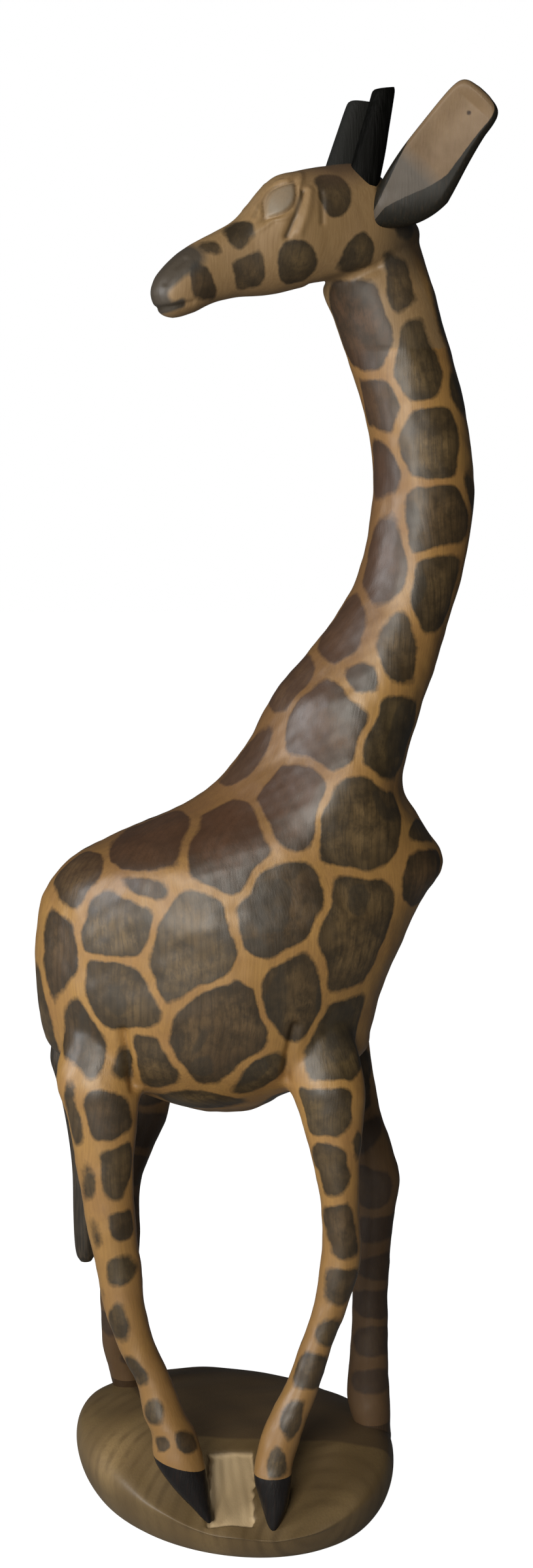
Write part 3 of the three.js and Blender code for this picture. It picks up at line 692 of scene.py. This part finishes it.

# Darker colour laid on: painted shade over the left legs, red-brown on the faces of the back and
# neck that turn up and to the rear, black paint behind the ears with painted shade down the upper
# neck where it faces +X, and ochre darker towards the bottom of the legs
far_leg = fade(points[:, 1], -20, 6) * fade(points[:, 2], BELLY + 14, -25)
skin_normals = read_values(melted.vertex_normals, "vector", 3)
# darker red-brown on the faces of the back and neck that turn up and to the rear
back_darkening = 0.8 * skin_normals[:, 2] - 0.75 * skin_normals[:, 0] + 0.12 * sine_noise(points, 40, 41)
back_darkening = fade(back_darkening, 0.15, 0.6) * fade(points[:, 2], 340, 40) * (1 - on_head)
# painted shade down the upper neck where it faces +X; the next line adds black paint behind the ears
nape_black_and_shade = fade(skin_normals[:, 0], 0.72, 0.2) * fade(points[:, 2], 560, 60) * (1 - on_head)
nape_black_and_shade = np.maximum(nape_black_and_shade, np.exp(-((np.linalg.norm(head - [-6, 0, -9], axis=1) / 31) ** 4)))
shin = fade(points[:, 2], 215, -90)
skin_marks = {
    "patch_gap": patch_gap, "tone": tone, "darkness": darkness, "stroke_gap": stroke_gap,
    "eye_white": eye_white, "groove_shade": groove_shade, "nose_grey": nose_grey, "crown": crown,
    "on_head": on_head, "far_leg": far_leg, "back_darkening": back_darkening,
    "nape_black_and_shade": nape_black_and_shade, "shin": shin,
}

loop_counts = read_values(melted.polygons, "loop_total", 1, int)
loop_starts = read_values(melted.polygons, "loop_start", 1, int)
loop_points = read_values(melted.loops, "vertex_index", 1, int)
middles = np.add.reduceat(points[loop_points], loop_starts, axis=0) / loop_counts[:, None]


def above(point, normal):
    """Which faces of the skin lie beyond a plane."""
    return (middles - point) @ np.array(normal, float) > 0


faces_of = {}
below_belly = middles[:, 2] < BELLY
past_neck_foot = middles[:, 2] > NECK_FOOT
past_collar = past_neck_foot & above(THROAT, COLLAR) & (middles[:, 2] > COLLAR_LOWEST)
faces_of["torso"] = ~below_belly & ~past_neck_foot
faces_of["neck"] = past_neck_foot & ~past_collar
faces_of["head"] = past_collar
for index, (name, (top, middle, fall)) in enumerate(HOOF_TOPS.items()):
    here = below_belly & (leg_of(middles[:, 0], middles[:, 1]) == index)
    in_leg = above((middle, 0, top), (fall, 0, 1))
    faces_of[name] = here & in_leg
    faces_of[name.replace("leg", "hoof")] = here & ~in_leg


def skin_piece(name, chosen):
    """One piece of the divided skin: its faces, a flat cap over each cut, the painted marks on its
    points, and the shading directions of the whole skin, so that no seam shows."""
    which = np.repeat(chosen, loop_counts)
    used, renamed = np.unique(loop_points[which], return_inverse=True)
    corners = np.split(renamed, np.cumsum(loop_counts[chosen])[:-1])
    piece = add_piece(name, points[used], [c.tolist() for c in corners])
    mesh = piece.data
    shape = bmesh.new()
    shape.from_mesh(mesh)
    rims = [edge for edge in shape.edges if edge.is_boundary]
    caps = bmesh.ops.holes_fill(shape, edges=rims)["faces"]
    for face in caps:
        face.smooth = False
    shape.to_mesh(mesh)
    shape.free()
    for mark_name, values in skin_marks.items():
        store_mark(mesh, mark_name, values[used])
    smooth_faces = read_values(mesh.polygons, "use_smooth", 1, bool)
    totals = read_values(mesh.polygons, "loop_total", 1, int)
    flat = read_values(mesh.polygon_normals, "vector", 3)
    directions = skin_normals[used][read_values(mesh.loops, "vertex_index", 1, int)]
    on_cap = ~np.repeat(smooth_faces, totals)
    directions[on_cap] = np.repeat(flat, totals, axis=0)[on_cap]
    mesh.normals_split_custom_set(directions.tolist())
    return piece


def object_place(tree):
    """Places on the statue in metres, the same for every piece."""
    return add_node(tree, "ShaderNodeTexCoord").outputs["Object"]


def calc(tree, operation, first, second, third=0.0):
    """One step of arithmetic."""
    return add_node(tree, "ShaderNodeMath", {0: first, 1: second, 2: third}, operation=operation).outputs[0]


def vector_calc(tree, operation, first, second):
    """One step of arithmetic on places."""
    return add_node(tree, "ShaderNodeVectorMath", {0: first, 1: second}, operation=operation).outputs[0]


def clouds(tree, place, scale, detail=2.0, roughness=0.5):
    """Soft random clouds, as a strength and as a colour."""
    sockets = {"Vector": place, "Scale": scale, "Detail": detail, "Roughness": roughness}
    return add_node(tree, "ShaderNodeTexNoise", sockets).outputs


def ramp(tree, value, low, high, to_low=0.0, to_high=1.0):
    """value carried from low..high to to_low..to_high, clamped."""
    made = add_node(tree, "ShaderNodeMapRange", {
        "Value": value, "From Min": low, "From Max": high, "To Min": to_low, "To Max": to_high})
    return made.outputs[0]


def mix(tree, share, first, second):
    """Two colours mixed by a share."""
    made = add_node(tree, "ShaderNodeMix", data_type="RGBA")
    for socket, value in zip((made.inputs[0], made.inputs[6], made.inputs[7]), (share, first, second)):
        if isinstance(value, bpy.types.NodeSocket):
            tree.links.new(value, socket)
        else:
            socket.default_value = value
    return made.outputs[2]


def lay_over(tree, colour, paint, value, low, high, most=1.0):
    """A paint over a colour: none of it where value is low, and a share of most where it is high."""
    return mix(tree, ramp(tree, value, low, high, 0.0, most), colour, paint)


def mark(tree, name):
    """A painted mark stored on the points."""
    return add_node(tree, "ShaderNodeAttribute", attribute_name=name).outputs["Fac"]


def finish_wood(tree, output, colour, roughness, relief, strength, depth, sheen):
    """The finished surface: colour, roughness, a relief of a depth in metres, and the varnish."""
    bumped = add_node(tree, "ShaderNodeBump", {"Height": relief, "Strength": strength, "Distance": depth})
    sockets = {"Base Color": colour, "Roughness": roughness, "Normal": bumped.outputs[0]} | sheen
    shader = add_node(tree, "ShaderNodeBsdfPrincipled", sockets)
    tree.links.new(shader.outputs[0], output.inputs["Surface"])


# Log grain: growth rings round an upright axis beside the middle of the log, and long upright
# streaks. Place and ring spacing are in metres; the outputs run from 0 to 1.
log_grain = bpy.data.node_groups.new("log grain", "ShaderNodeTree")
for name in ("Place", "Ring spacing", "Seed"):
    kind = "NodeSocketVector" if name == "Place" else "NodeSocketFloat"
    log_grain.interface.new_socket(name, in_out="INPUT", socket_type=kind)
for name in ("Rings", "Streaks", "Mottle"):
    log_grain.interface.new_socket(name, in_out="OUTPUT", socket_type="NodeSocketFloat")
given = log_grain.nodes.new("NodeGroupInput").outputs
result = log_grain.nodes.new("NodeGroupOutput").inputs
bend = vector_calc(log_grain, "SUBTRACT", clouds(log_grain, given["Place"], 9.0)["Color"], (0.5, 0.5, 0.5))
bend = vector_calc(log_grain, "MULTIPLY", bend, (0.03, 0.03, 0.0))
bent = vector_calc(log_grain, "ADD", given["Place"], bend)
upright = vector_calc(log_grain, "MULTIPLY", bent, (1.0, 1.0, 0.06))
from_heart = vector_calc(log_grain, "SUBTRACT", upright, (0.05, -0.09, 0.0))
reach = add_node(log_grain, "ShaderNodeVectorMath", {0: from_heart}, operation="LENGTH").outputs["Value"]
turn = calc(log_grain, "MULTIPLY", calc(log_grain, "DIVIDE", reach, given["Ring spacing"]), 6.2832)
rings = calc(log_grain, "MULTIPLY_ADD", calc(log_grain, "SINE", turn, 0.0), 0.5, 0.5)
log_grain.links.new(rings, result["Rings"])
drawn_out = vector_calc(log_grain, "MULTIPLY", bent, (900.0, 900.0, 45.0))
drawn_out = vector_calc(log_grain, "ADD", drawn_out, given["Seed"])
log_grain.links.new(clouds(log_grain, drawn_out, 1.0, 3.0)["Fac"], result["Streaks"])
log_grain.links.new(clouds(log_grain, given["Place"], 38.0, 5.0, 0.6)["Fac"], result["Mottle"])


def add_grain(tree, spacing, seed):
    """The log grain at places on the statue: its rings, streaks and mottle."""
    sockets = {"Place": object_place(tree), "Ring spacing": spacing, "Seed": seed}
    return add_node(tree, "ShaderNodeGroup", sockets, node_tree=log_grain).outputs


OCHRE = (0.38, 0.212, 0.06, 1)
OCHRE_DEEP = (0.3, 0.155, 0.047, 1)
OCHRE_STREAK = (0.17, 0.09, 0.03, 1)
OCHRE_SHIN = (0.23, 0.125, 0.04, 1)
OLIVE = (0.042, 0.03, 0.0125, 1)
OLIVE_PALE = (0.19, 0.124, 0.049, 1)
RED_BROWN = (0.066, 0.029, 0.015, 1)
RIM = (0.026, 0.017, 0.007, 1)
STROKE_BROWN = (0.03, 0.024, 0.015, 1)
BACK_BROWN = (0.075, 0.034, 0.018, 1)
SHADE_BROWN = (0.03, 0.013, 0.004, 1)
NAPE_BLACK_AND_SHADE = (0.018, 0.014, 0.009, 1)
CROWN_BROWN = (0.085, 0.048, 0.026, 1)
EYE_GREY = (0.22, 0.205, 0.17, 1)
HEAD_TAN = (0.255, 0.172, 0.086, 1)
NOSE_GREY = (0.034, 0.031, 0.026, 1)
HOOF_BLACK = (0.009, 0.008, 0.008, 1)
HOOF_WORN = (0.02, 0.011, 0.008, 1)
HOOF_BARE = (0.05, 0.029, 0.014, 1)

coat, tree, output = new_material("painted coat")
grain = add_grain(tree, 0.0042, 3.0)
mottle, streaks = grain["Mottle"], grain["Streaks"]
place = object_place(tree)
edge = calc(tree, "MULTIPLY_ADD", clouds(tree, place, 420.0, 3.0)["Fac"], 1.0, -0.5)
ragged = calc(tree, "ADD", mark(tree, "patch_gap"), edge)
ochre = lay_over(tree, OCHRE, OCHRE_DEEP, mottle, 0.35, 0.7)
ochre = lay_over(tree, ochre, HEAD_TAN, mark(tree, "on_head"), 0.2, 0.8, 0.75)
ochre = lay_over(tree, ochre, OCHRE_STREAK, streaks, 0.35, 0.75, 0.35)
ochre = lay_over(tree, ochre, OCHRE_SHIN, mark(tree, "shin"), 0.0, 1.0, 0.6)
olive = lay_over(tree, OLIVE, OLIVE_PALE, mottle, 0.3, 0.7)
painted = mix(tree, mark(tree, "tone"), olive, RED_BROWN)
painted = lay_over(tree, painted, OLIVE_PALE, mark(tree, "darkness"), 0.0, 1.0, 0.35)
painted = lay_over(tree, painted, RIM, clouds(tree, place, 75.0, 4.0, 0.65)["Fac"], 0.43, 0.63, 0.75)
painted = lay_over(tree, painted, RIM, grain["Rings"], 0.55, 0.95, 0.3)
painted = lay_over(tree, painted, RIM, streaks, 0.5, 0.66, calc(tree, "MULTIPLY", mottle, 0.8))
painted = lay_over(tree, painted, RIM, mark(tree, "patch_gap"), -5.5, -0.3, 0.62)
stroke = calc(tree, "ADD", mark(tree, "stroke_gap"), edge)
painted = lay_over(tree, painted, STROKE_BROWN, stroke, 0.8, -0.8, 0.6)
colour = lay_over(tree, painted, ochre, ragged, -0.55, 0.55)
colour = lay_over(tree, colour, BACK_BROWN, mark(tree, "back_darkening"), 0.0, 1.0, 0.6)
# painted shade: the left legs darkened as if standing in shade
colour = lay_over(tree, colour, SHADE_BROWN, mark(tree, "far_leg"), 0.0, 1.0, 0.78)
# black paint behind the ears, and painted shade down the upper neck where it faces +X
colour = lay_over(tree, colour, NAPE_BLACK_AND_SHADE, mark(tree, "nape_black_and_shade"), 0.1, 0.9, 0.85)
colour = lay_over(tree, colour, CROWN_BROWN, mark(tree, "crown"), 0.2, 0.75, 0.8)
colour = lay_over(tree, colour, NOSE_GREY, mark(tree, "nose_grey"), 0.3, 0.75, 0.9)
white_share = calc(tree, "MULTIPLY", mark(tree, "eye_white"), ramp(tree, mottle, 0.3, 0.7, 0.8, 0.4))
colour = mix(tree, white_share, colour, EYE_GREY)
# painted shade in the grooves of the head
colour = lay_over(tree, colour, RIM, mark(tree, "groove_shade"), 0.25, 0.8, 0.9)
rough = ramp(tree, mottle, 0.3, 0.7, 0.4, 0.56)
rough = calc(tree, "MULTIPLY_ADD", mark(tree, "on_head"), 0.14, rough)
rough = calc(tree, "MULTIPLY_ADD", mark(tree, "far_leg"), 0.3, rough)
relief = calc(tree, "MULTIPLY_ADD", streaks, 0.5, calc(tree, "MULTIPLY", mottle, 0.6))
relief = calc(tree, "ADD", relief, ramp(tree, ragged, -0.6, 0.6, 0.35, 0.0))
varnish = {"Coat Weight": 0.27, "Coat Roughness": 0.36}
finish_wood(tree, output, colour, rough, relief, 0.35, 0.0006, varnish)

hoof_paint, tree, output = new_material("hoof black")
grain = add_grain(tree, 0.004, 9.0)
colour = lay_over(tree, HOOF_BLACK, HOOF_WORN, grain["Streaks"], 0.5, 0.75, 0.6)
colour = lay_over(tree, colour, HOOF_BARE, mark(tree, "far_leg"), 0.0, 1.0, 0.85)
rough = ramp(tree, grain["Mottle"], 0.3, 0.7, 0.3, 0.5)
varnish = {"Specular IOR Level": 0.25, "Coat Weight": 0.1, "Coat Roughness": 0.3}
finish_wood(tree, output, colour, rough, grain["Streaks"], 0.4, 0.0008, varnish)

for name, chosen in faces_of.items():
    hoof = "hoof" in name
    piece = skin_piece("carved_" + name, chosen)
    piece.data.materials.append(hoof_paint if hoof else coat)
    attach(piece, "root")
    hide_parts(name)

# --- Base --------------------------------------------------------------------------------------
# A domed oval of the same log under the feet, oiled and darker on top, its front cut down to a
# sloping flat that the near hooves stand in, with chiselled raw wood between them.

BASE_MIDDLE = np.array([-3, 11])
BASE_SIZES = np.array([98, 79])
BASE_TURN = radians(-45)
BASE_HEIGHT = 47
CREST = -17  # y of the line from which the front slopes down
FRONT_FALL = 0.5  # how far it falls for each millimetre
CREST_SOFTNESS = 3
DOME = [  # radius and height as shares
    [0, 0], [0.4, 0], [0.80, 0], [0.86, 0.02], [0.91, 0.10], [0.965, 0.28], [0.995, 0.5], [0.985, 0.64],
    [0.94, 0.75], [0.87, 0.83], [0.78, 0.89], [0.62, 0.95], [0.42, 0.985], [0.2, 1], [0, 1],
]
SHOULDER = [  # the same where the oval is fuller, under the left foreleg and at the back corner
    [0, 0], [0.4, 0], [0.80, 0], [0.86, 0.02], [0.91, 0.10], [0.965, 0.28], [0.995, 0.5], [1, 0.68],
    [0.985, 0.82], [0.95, 0.9], [0.89, 0.95], [0.76, 0.985], [0.5, 1], [0.25, 1], [0, 1],
]


def turn_from(angle, direction):
    """Degrees from a direction in degrees, by the shorter way round."""
    return np.degrees(np.angle(np.exp(1j * (angle - radians(direction)))))


def dome(rings, around):
    """A turned oval: at share v of its profile and angle q, the point is the middle plus the long and
    short half sizes times radius(v) times the cosine and sine of q, turned; its height is the profile's.
    The profile passes into the fuller one towards 42 and, less so, towards 212 degrees."""
    angle = np.linspace(0, 2 * np.pi, around, endpoint=False)
    full = bump(turn_from(angle, 42), 0, 34) + 0.7 * bump(turn_from(angle, 212), 0, 34)
    plain = smooth_rows(DOME, rings)[:, None]
    profile = plain + full[None, :, None] * (smooth_rows(SHOULDER, rings)[:, None] - plain)
    radius, rise = np.clip(profile[..., 0], 0, None), profile[..., 1]
    along = BASE_SIZES[0] * radius * np.cos(angle)
    across = BASE_SIZES[1] * radius * np.sin(angle)
    x = BASE_MIDDLE[0] + cos(BASE_TURN) * along - sin(BASE_TURN) * across
    y = BASE_MIDDLE[1] + sin(BASE_TURN) * along + cos(BASE_TURN) * across
    z = np.clip(BASE_HEIGHT * rise, 0, BASE_HEIGHT)
    return np.stack([x, y, z], -1)


grid = dome(190, 360)[1:-1]
flat = grid.reshape(-1, 3)
x, y = flat[:, 0], flat[:, 1]

# The front is cut by a plane that falls from the crest line towards -Y, with a soft edge, and the
# part between the near hooves is chiselled 2 mm deeper
upper = fade(flat[:, 2], 14, 8)
crest = CREST - 0.06 * x + 1.5 * sine_noise(flat * [1, 0, 0], 40, 31)
slope = BASE_HEIGHT - FRONT_FALL * (crest - y) + 0.5 * sine_noise(flat, 30, 32)
cut = -CREST_SOFTNESS * np.logaddexp(-flat[:, 2] / CREST_SOFTNESS, -slope / CREST_SOFTNESS)
flat[:, 2] += upper * np.minimum(cut - flat[:, 2], 0)
flat[:, 2] += upper * (0.35 * sine_noise(flat, 22, 33) - 0.4)
raw = fade(x + sine_noise(flat, 8, 34), -16, 1.5) * fade(x - sine_noise(flat, 7, 35), 10, -1.5)
raw *= fade(y, -70, 2) * fade(y, -26, -1.5) * (flat[:, 2] > 15)
flat[:, 2] -= raw * (2.0 + 0.4 * sine_noise(flat * [1, 0.3, 0], 5, 36))

# Marks for the paint: raw wood; two rounded areas, on the upper left and the lower front, that keep
# the pale wood as painted light while the rest is darkened as painted shade; and a darker top
# behind the crest
# painted light: the upper left and the lower front of the base stay pale where the light falls
lit_lobe = bump(x, -66, 26) * bump(y, -18, 28) * fade(flat[:, 2], 16, 14)
lit_lobe += 0.35 * bump(x, -5, 40) * bump(y, -64, 14)
left_rim = -44 - 0.42 * y + 2 * sine_noise(flat, 25, 37)
# darker on the top behind the crest line
stained = fade(y - crest, -1.5, 3) * fade(x - left_rim, 0, 5) * (flat[:, 2] > 26)
base = add_piece("turned_base", *closed_mesh(flat.reshape(grid.shape)))
for name, values, ends in (("raw", raw, [0, 0]), ("lit_lobe", lit_lobe, [0, 0]), ("stained", stained, [0, 1])):
    store_mark(base.data, name, np.concatenate([values, ends]))

PALE_WOOD = (0.28, 0.19, 0.08, 1)
RING_WOOD = (0.105, 0.066, 0.026, 1)
STREAK_WOOD = (0.16, 0.1, 0.045, 1)
MOTTLE_WOOD = (0.2, 0.13, 0.06, 1)
FINE_RING_WOOD = (0.12, 0.075, 0.03, 1)
SHADED_BASE_WOOD = (0.085, 0.055, 0.021, 1)
DARK_TOP_WOOD = (0.066, 0.042, 0.02, 1)
RAW_WOOD = (0.55, 0.41, 0.235, 1)

bare_wood, tree, output = new_material("oiled bare wood")
grain = add_grain(tree, 0.037, 5.0)
mottle, streaks = grain["Mottle"], grain["Streaks"]
colour = lay_over(tree, PALE_WOOD, RING_WOOD, grain["Rings"], 0.1, 0.9, 0.55)
colour = lay_over(tree, colour, STREAK_WOOD, streaks, 0.4, 0.7, 0.4)
colour = lay_over(tree, colour, MOTTLE_WOOD, mottle, 0.35, 0.7, 0.5)
fine_rings = ramp(tree, add_grain(tree, 0.0085, 17.0)["Rings"], 0.4, 1.0, 0.0, 0.9)
fine_rings = calc(tree, "MULTIPLY", fine_rings, ramp(tree, mottle, 0.4, 0.65))
colour = mix(tree, fine_rings, colour, FINE_RING_WOOD)
# painted shade over the base outside the two lit areas, which stay pale as painted light
colour = mix(tree, ramp(tree, mark(tree, "lit_lobe"), 0.1, 0.9, 0.66, 0.0), colour, SHADED_BASE_WOOD)
colour = lay_over(tree, colour, DARK_TOP_WOOD, mark(tree, "stained"), 0.2, 0.8, 0.85)
colour = lay_over(tree, colour, RAW_WOOD, mark(tree, "raw"), 0.2, 0.8, 0.85)
rough = ramp(tree, mottle, 0.3, 0.7, 0.45, 0.62)
relief = calc(tree, "MULTIPLY_ADD", streaks, 0.5, mottle)
varnish = {"Coat Weight": 0.15, "Coat Roughness": 0.35}
finish_wood(tree, output, colour, rough, relief, 0.3, 0.0008, varnish)
base.data.materials.append(bare_wood)
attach(base, "root")
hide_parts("base")

# --- Ears --------------------------------------------------------------------------------------
# Two paddles of the same wood let into the back of the head, with a shallow scooped tan face, a
# black rim and back, and a squared tip.

EAR_ROOT = (10.1, 20.9, 6.9)  # ahead of the poll, left and up, as for the two directions below
EAR_AXIS = (-0.602, 0.577, 0.552)
EAR_FACING = (0.685, 0.724, 0.075)
EAR_LENGTH = 71
EAR_HALF_WIDTH = 14
EAR_HALF_THICKNESS = 5.5
SCOOP_DEPTH = 3.4
FLARE = 14  # how far the lower edge spreads near the head
HOLE_RADIUS = 1.3
EAR_ROWS = [  # share of the length, half width, half thickness, corner
    [-0.17, 0.3, 1.2, 1], [-0.08, 0.56, 1.4, 1], [0, 0.7, 1.5, 1], [0.15, 0.86, 1.35, 1],
    [0.35, 0.97, 1.1, 0.95], [0.6, 1, 0.95, 0.9], [0.8, 1, 0.85, 0.85], [0.9, 0.96, 0.78, 0.85],
    [0.955, 0.86, 0.7, 0.9], [0.985, 0.66, 0.55, 1], [1, 0.3, 0.3, 1],
]


def head_way(way, side):
    """A step ahead, left and up along the head's own axes, mirrored to the right where side is -1."""
    return way * np.array([1, side, 1]) @ HEAD_AXES


def unit(direction):
    """The same direction with a length of 1."""
    return direction / np.linalg.norm(direction)


def paddle(side):
    """Ovals along the ear's axis, squared by their corner power. On the front half the face is scooped
    by depth (1 - (C / 0.84)^2) times a rise and fall along the length."""
    axis = unit(head_way(EAR_AXIS, side))
    facing = head_way(EAR_FACING, side)
    facing = unit(facing - facing @ axis * axis)
    across = np.cross(axis, facing)
    root = POLL + head_way(EAR_ROOT, side)
    share, width, thick, corner = smooth_rows(EAR_ROWS, 120).T[:, :, None]
    along, out = round_shares(128, corner)
    scoop = np.clip(1 - (along / 0.84) ** 2, 0, 1) * fade(share, 0.08, 0.3) * fade(share, 0.97, -0.08)
    lift = EAR_HALF_THICKNESS * thick * out - SCOOP_DEPTH * np.where(out > 0, scoop, 0)
    flare = FLARE * fade(share, 0.8, -0.8) ** 1.3 * fade(share, -0.17, 0.45) * np.clip(along * side, 0, 1)
    wide = EAR_HALF_WIDTH * width * along + flare * side
    share = np.broadcast_to(share, along.shape)
    grid = root + EAR_LENGTH * share[..., None] * axis + wide[..., None] * across + lift[..., None] * facing
    rise = fade(share, -0.02, 0.45)
    upper_edge = np.clip((along * side + 1.02 - 0.5 * (1 - rise)) / 0.08, 0, 1)
    lower_edge = np.clip((0.05 + 0.5 * rise + 0.35 * share - along * side) / 0.08, 0, 1)
    face = np.where(out > -0.25 * (along * side < 0), upper_edge * lower_edge, 0)
    hole = bump((share - 0.83) * EAR_LENGTH, 0, HOLE_RADIUS) * bump(wide, 1, HOLE_RADIUS) * (out > 0)
    return grid, {"face": face, "hole": hole, "low": fade(share, 0.42, -0.15)}


EAR_TAN = (0.21, 0.142, 0.08, 1)
EAR_TAN_DEEP = (0.135, 0.088, 0.047, 1)
EAR_STREAK = (0.2, 0.13, 0.08, 1)
EAR_GREY = (0.062, 0.059, 0.053, 1)
HOLE_BROWN = (0.03, 0.015, 0.008, 1)
EAR_BLACK = (0.012, 0.011, 0.008, 1)
EAR_WORN = (0.03, 0.02, 0.011, 1)

ear_paint, tree, output = new_material("ear paint")
grain = add_grain(tree, 0.005, 12.0)
mottle, streaks = grain["Mottle"], grain["Streaks"]
tan = lay_over(tree, EAR_TAN, EAR_TAN_DEEP, mottle, 0.35, 0.7)
tan = lay_over(tree, tan, EAR_STREAK, streaks, 0.45, 0.7, 0.35)
tan = lay_over(tree, tan, EAR_GREY, mark(tree, "low"), 0.1, 0.9, 0.8)
tan = lay_over(tree, tan, HOLE_BROWN, mark(tree, "hole"), 0.3, 0.7)
edge = calc(tree, "MULTIPLY_ADD", clouds(tree, object_place(tree), 350.0)["Fac"], 0.5, -0.25)
black = lay_over(tree, EAR_BLACK, EAR_WORN, streaks, 0.5, 0.75, 0.6)
colour = lay_over(tree, black, tan, calc(tree, "ADD", mark(tree, "face"), edge), 0.35, 0.65)
rough = ramp(tree, mottle, 0.3, 0.7, 0.38, 0.55)
varnish = {"Specular IOR Level": 0.2, "Coat Weight": 0.04, "Coat Roughness": 0.4}
finish_wood(tree, output, colour, rough, streaks, 0.35, 0.0006, varnish)

for name, side_sign in {"ear_left": 1, "ear_right": -1}.items():
    grid, marks = paddle(side_sign)
    ear_points, faces = closed_mesh(grid)
    faces = faces if side_sign < 0 else [face[::-1] for face in faces]
    ear = add_piece("scooped_" + name, ear_points, faces)
    for mark_name, values in marks.items():
        store_mark(ear.data, mark_name, np.concatenate([values.ravel(), [values[0, 0], values[-1, 0]]]))
    ear.data.materials.append(ear_paint)
    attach(ear, "root")
    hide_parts(name)

# --- Horns -------------------------------------------------------------------------------------
# Two short blunt pegs of blackened wood set in the crown, their tops sawn off at a slant.

HORN_ROOT = (11.5, 11, 25)
HORN_AXIS = (-0.486, 0, 0.874)
HORN_LENGTH = 41
HORN_SLANT = -1.5
HORN_ROWS = {  # share of the length, reach ahead, reach back, half thickness, corner
    "horn_left": [
        [-0.2, 10.5, 5, 7.4, 1], [0, 10.3, 5.4, 7.2, 0.95], [0.25, 9, 5.6, 6.7, 0.85],
        [0.5, 7.8, 5.4, 6.0, 0.8], [0.8, 6.2, 5.2, 5.4, 0.75], [0.95, 5.6, 5, 5.1, 0.75],
        [1, 4.6, 4.3, 4.6, 0.75],
    ],
    "horn_right": [
        [-0.2, 14.4, 9, 7.4, 1], [0, 14, 9, 7.2, 0.95], [0.25, 12.2, 8.2, 6.7, 0.85],
        [0.5, 10.4, 7.2, 6.0, 0.8], [0.75, 8.6, 6.2, 5.4, 0.75], [0.86, 7.6, 5.6, 5.1, 0.75],
        [0.9, 6.4, 4.6, 4.6, 0.75],
    ],
}


def peg(side, rows):
    """Squared ovals along the horn's axis, their tops leaned over by a slant that grows with height."""
    axis = unit(head_way(HORN_AXIS, side))
    out = head_way((0, 1, 0), side)
    fore = side * np.cross(out, axis)
    root = POLL + head_way(HORN_ROOT, side)
    share, ahead, back, thick, corner = smooth_rows(rows, 70).T[:, :, None]
    along, across = round_shares(64, corner)
    long = HORN_LENGTH * share + HORN_SLANT * np.clip(share, 0, 1) ** 6 * along
    wide = along * np.where(along > 0, ahead, back)
    return root + long[..., None] * axis + wide[..., None] * fore + (thick * across)[..., None] * out


HORN_BLACK = (0.002, 0.002, 0.0016, 1)
HORN_WORN = (0.006, 0.006, 0.0055, 1)
HORN_DUSTY = (0.014, 0.014, 0.013, 1)
HORN_LIT_GREY = (0.024, 0.0245, 0.023, 1)

horn_paint, tree, output = new_material("horn black")
grain = add_grain(tree, 0.0035, 20.0)
colour = lay_over(tree, HORN_BLACK, HORN_WORN, grain["Streaks"], 0.4, 0.7)
colour = lay_over(tree, colour, HORN_DUSTY, grain["Mottle"], 0.55, 0.75, 0.4)
# painted highlight: the far horn is painted grey where it faces the light; the near one stays black
colour = lay_over(tree, colour, HORN_LIT_GREY, mark(tree, "lit_horn"), 0.0, 1.0, 0.75)
rough = ramp(tree, grain["Mottle"], 0.3, 0.7, 0.5, 0.7)
finish_wood(tree, output, colour, rough, grain["Streaks"], 0.5, 0.0008, {"Specular IOR Level": 0.06})

for name, side_sign in {"horn_left": 1, "horn_right": -1}.items():
    horn_points, faces = closed_mesh(peg(side_sign, HORN_ROWS[name]))
    faces = faces if side_sign < 0 else [face[::-1] for face in faces]
    horn = add_piece("sawn_" + name, horn_points, faces)
    # the far horn carries the painted highlight
    store_mark(horn.data, "lit_horn", np.full(len(horn_points), float(name == "horn_right")))
    horn.data.materials.append(horn_paint)
    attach(horn, "root")
    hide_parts(name)

# --- Tail --------------------------------------------------------------------------------------
# A dark stained rod let into the rump, hanging beside the left thigh with a blunt tip.

TAIL = [  # height, x, y, half width, half depth
    [262, -95, 8, 5.6, 5.6], [252, -95.6, 8, 5.8, 5.8], [244, -93.4, 8, 6, 6], [233, -90, 8, 6.4, 6.3],
    [211, -85.8, 8, 6.8, 6.6], [189, -83.4, 8, 7, 6.6], [165, -83.2, 8, 7, 6.5],
    [150, -83.4, 8, 6.4, 6.1], [141, -83.6, 8, 5.2, 5.1], [137, -83.6, 8, 3.2, 3.2],
]
tail = add_piece("hanging_tail", *closed_mesh(upright_ovals(TAIL, 90, 56)))

TAIL_DARK = (0.016, 0.012, 0.007, 1)
TAIL_BROWN = (0.05, 0.036, 0.022, 1)
TAIL_WORN = (0.065, 0.048, 0.03, 1)

tail_paint, tree, output = new_material("tail stain")
grain = add_grain(tree, 0.004, 30.0)
colour = lay_over(tree, TAIL_DARK, TAIL_BROWN, grain["Streaks"], 0.4, 0.7)
colour = lay_over(tree, colour, TAIL_WORN, grain["Mottle"], 0.5, 0.75, 0.5)
rough = ramp(tree, grain["Mottle"], 0.3, 0.7, 0.4, 0.6)
varnish = {"Coat Weight": 0.2, "Coat Roughness": 0.3}
finish_wood(tree, output, colour, rough, grain["Streaks"], 0.4, 0.0008, varnish)
tail.data.materials.append(tail_paint)
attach(tail, "root")
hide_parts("tail")

# --- Tidying up --------------------------------------------------------------------------------
# The undivided skin goes.

bpy.data.meshes.remove(melted)
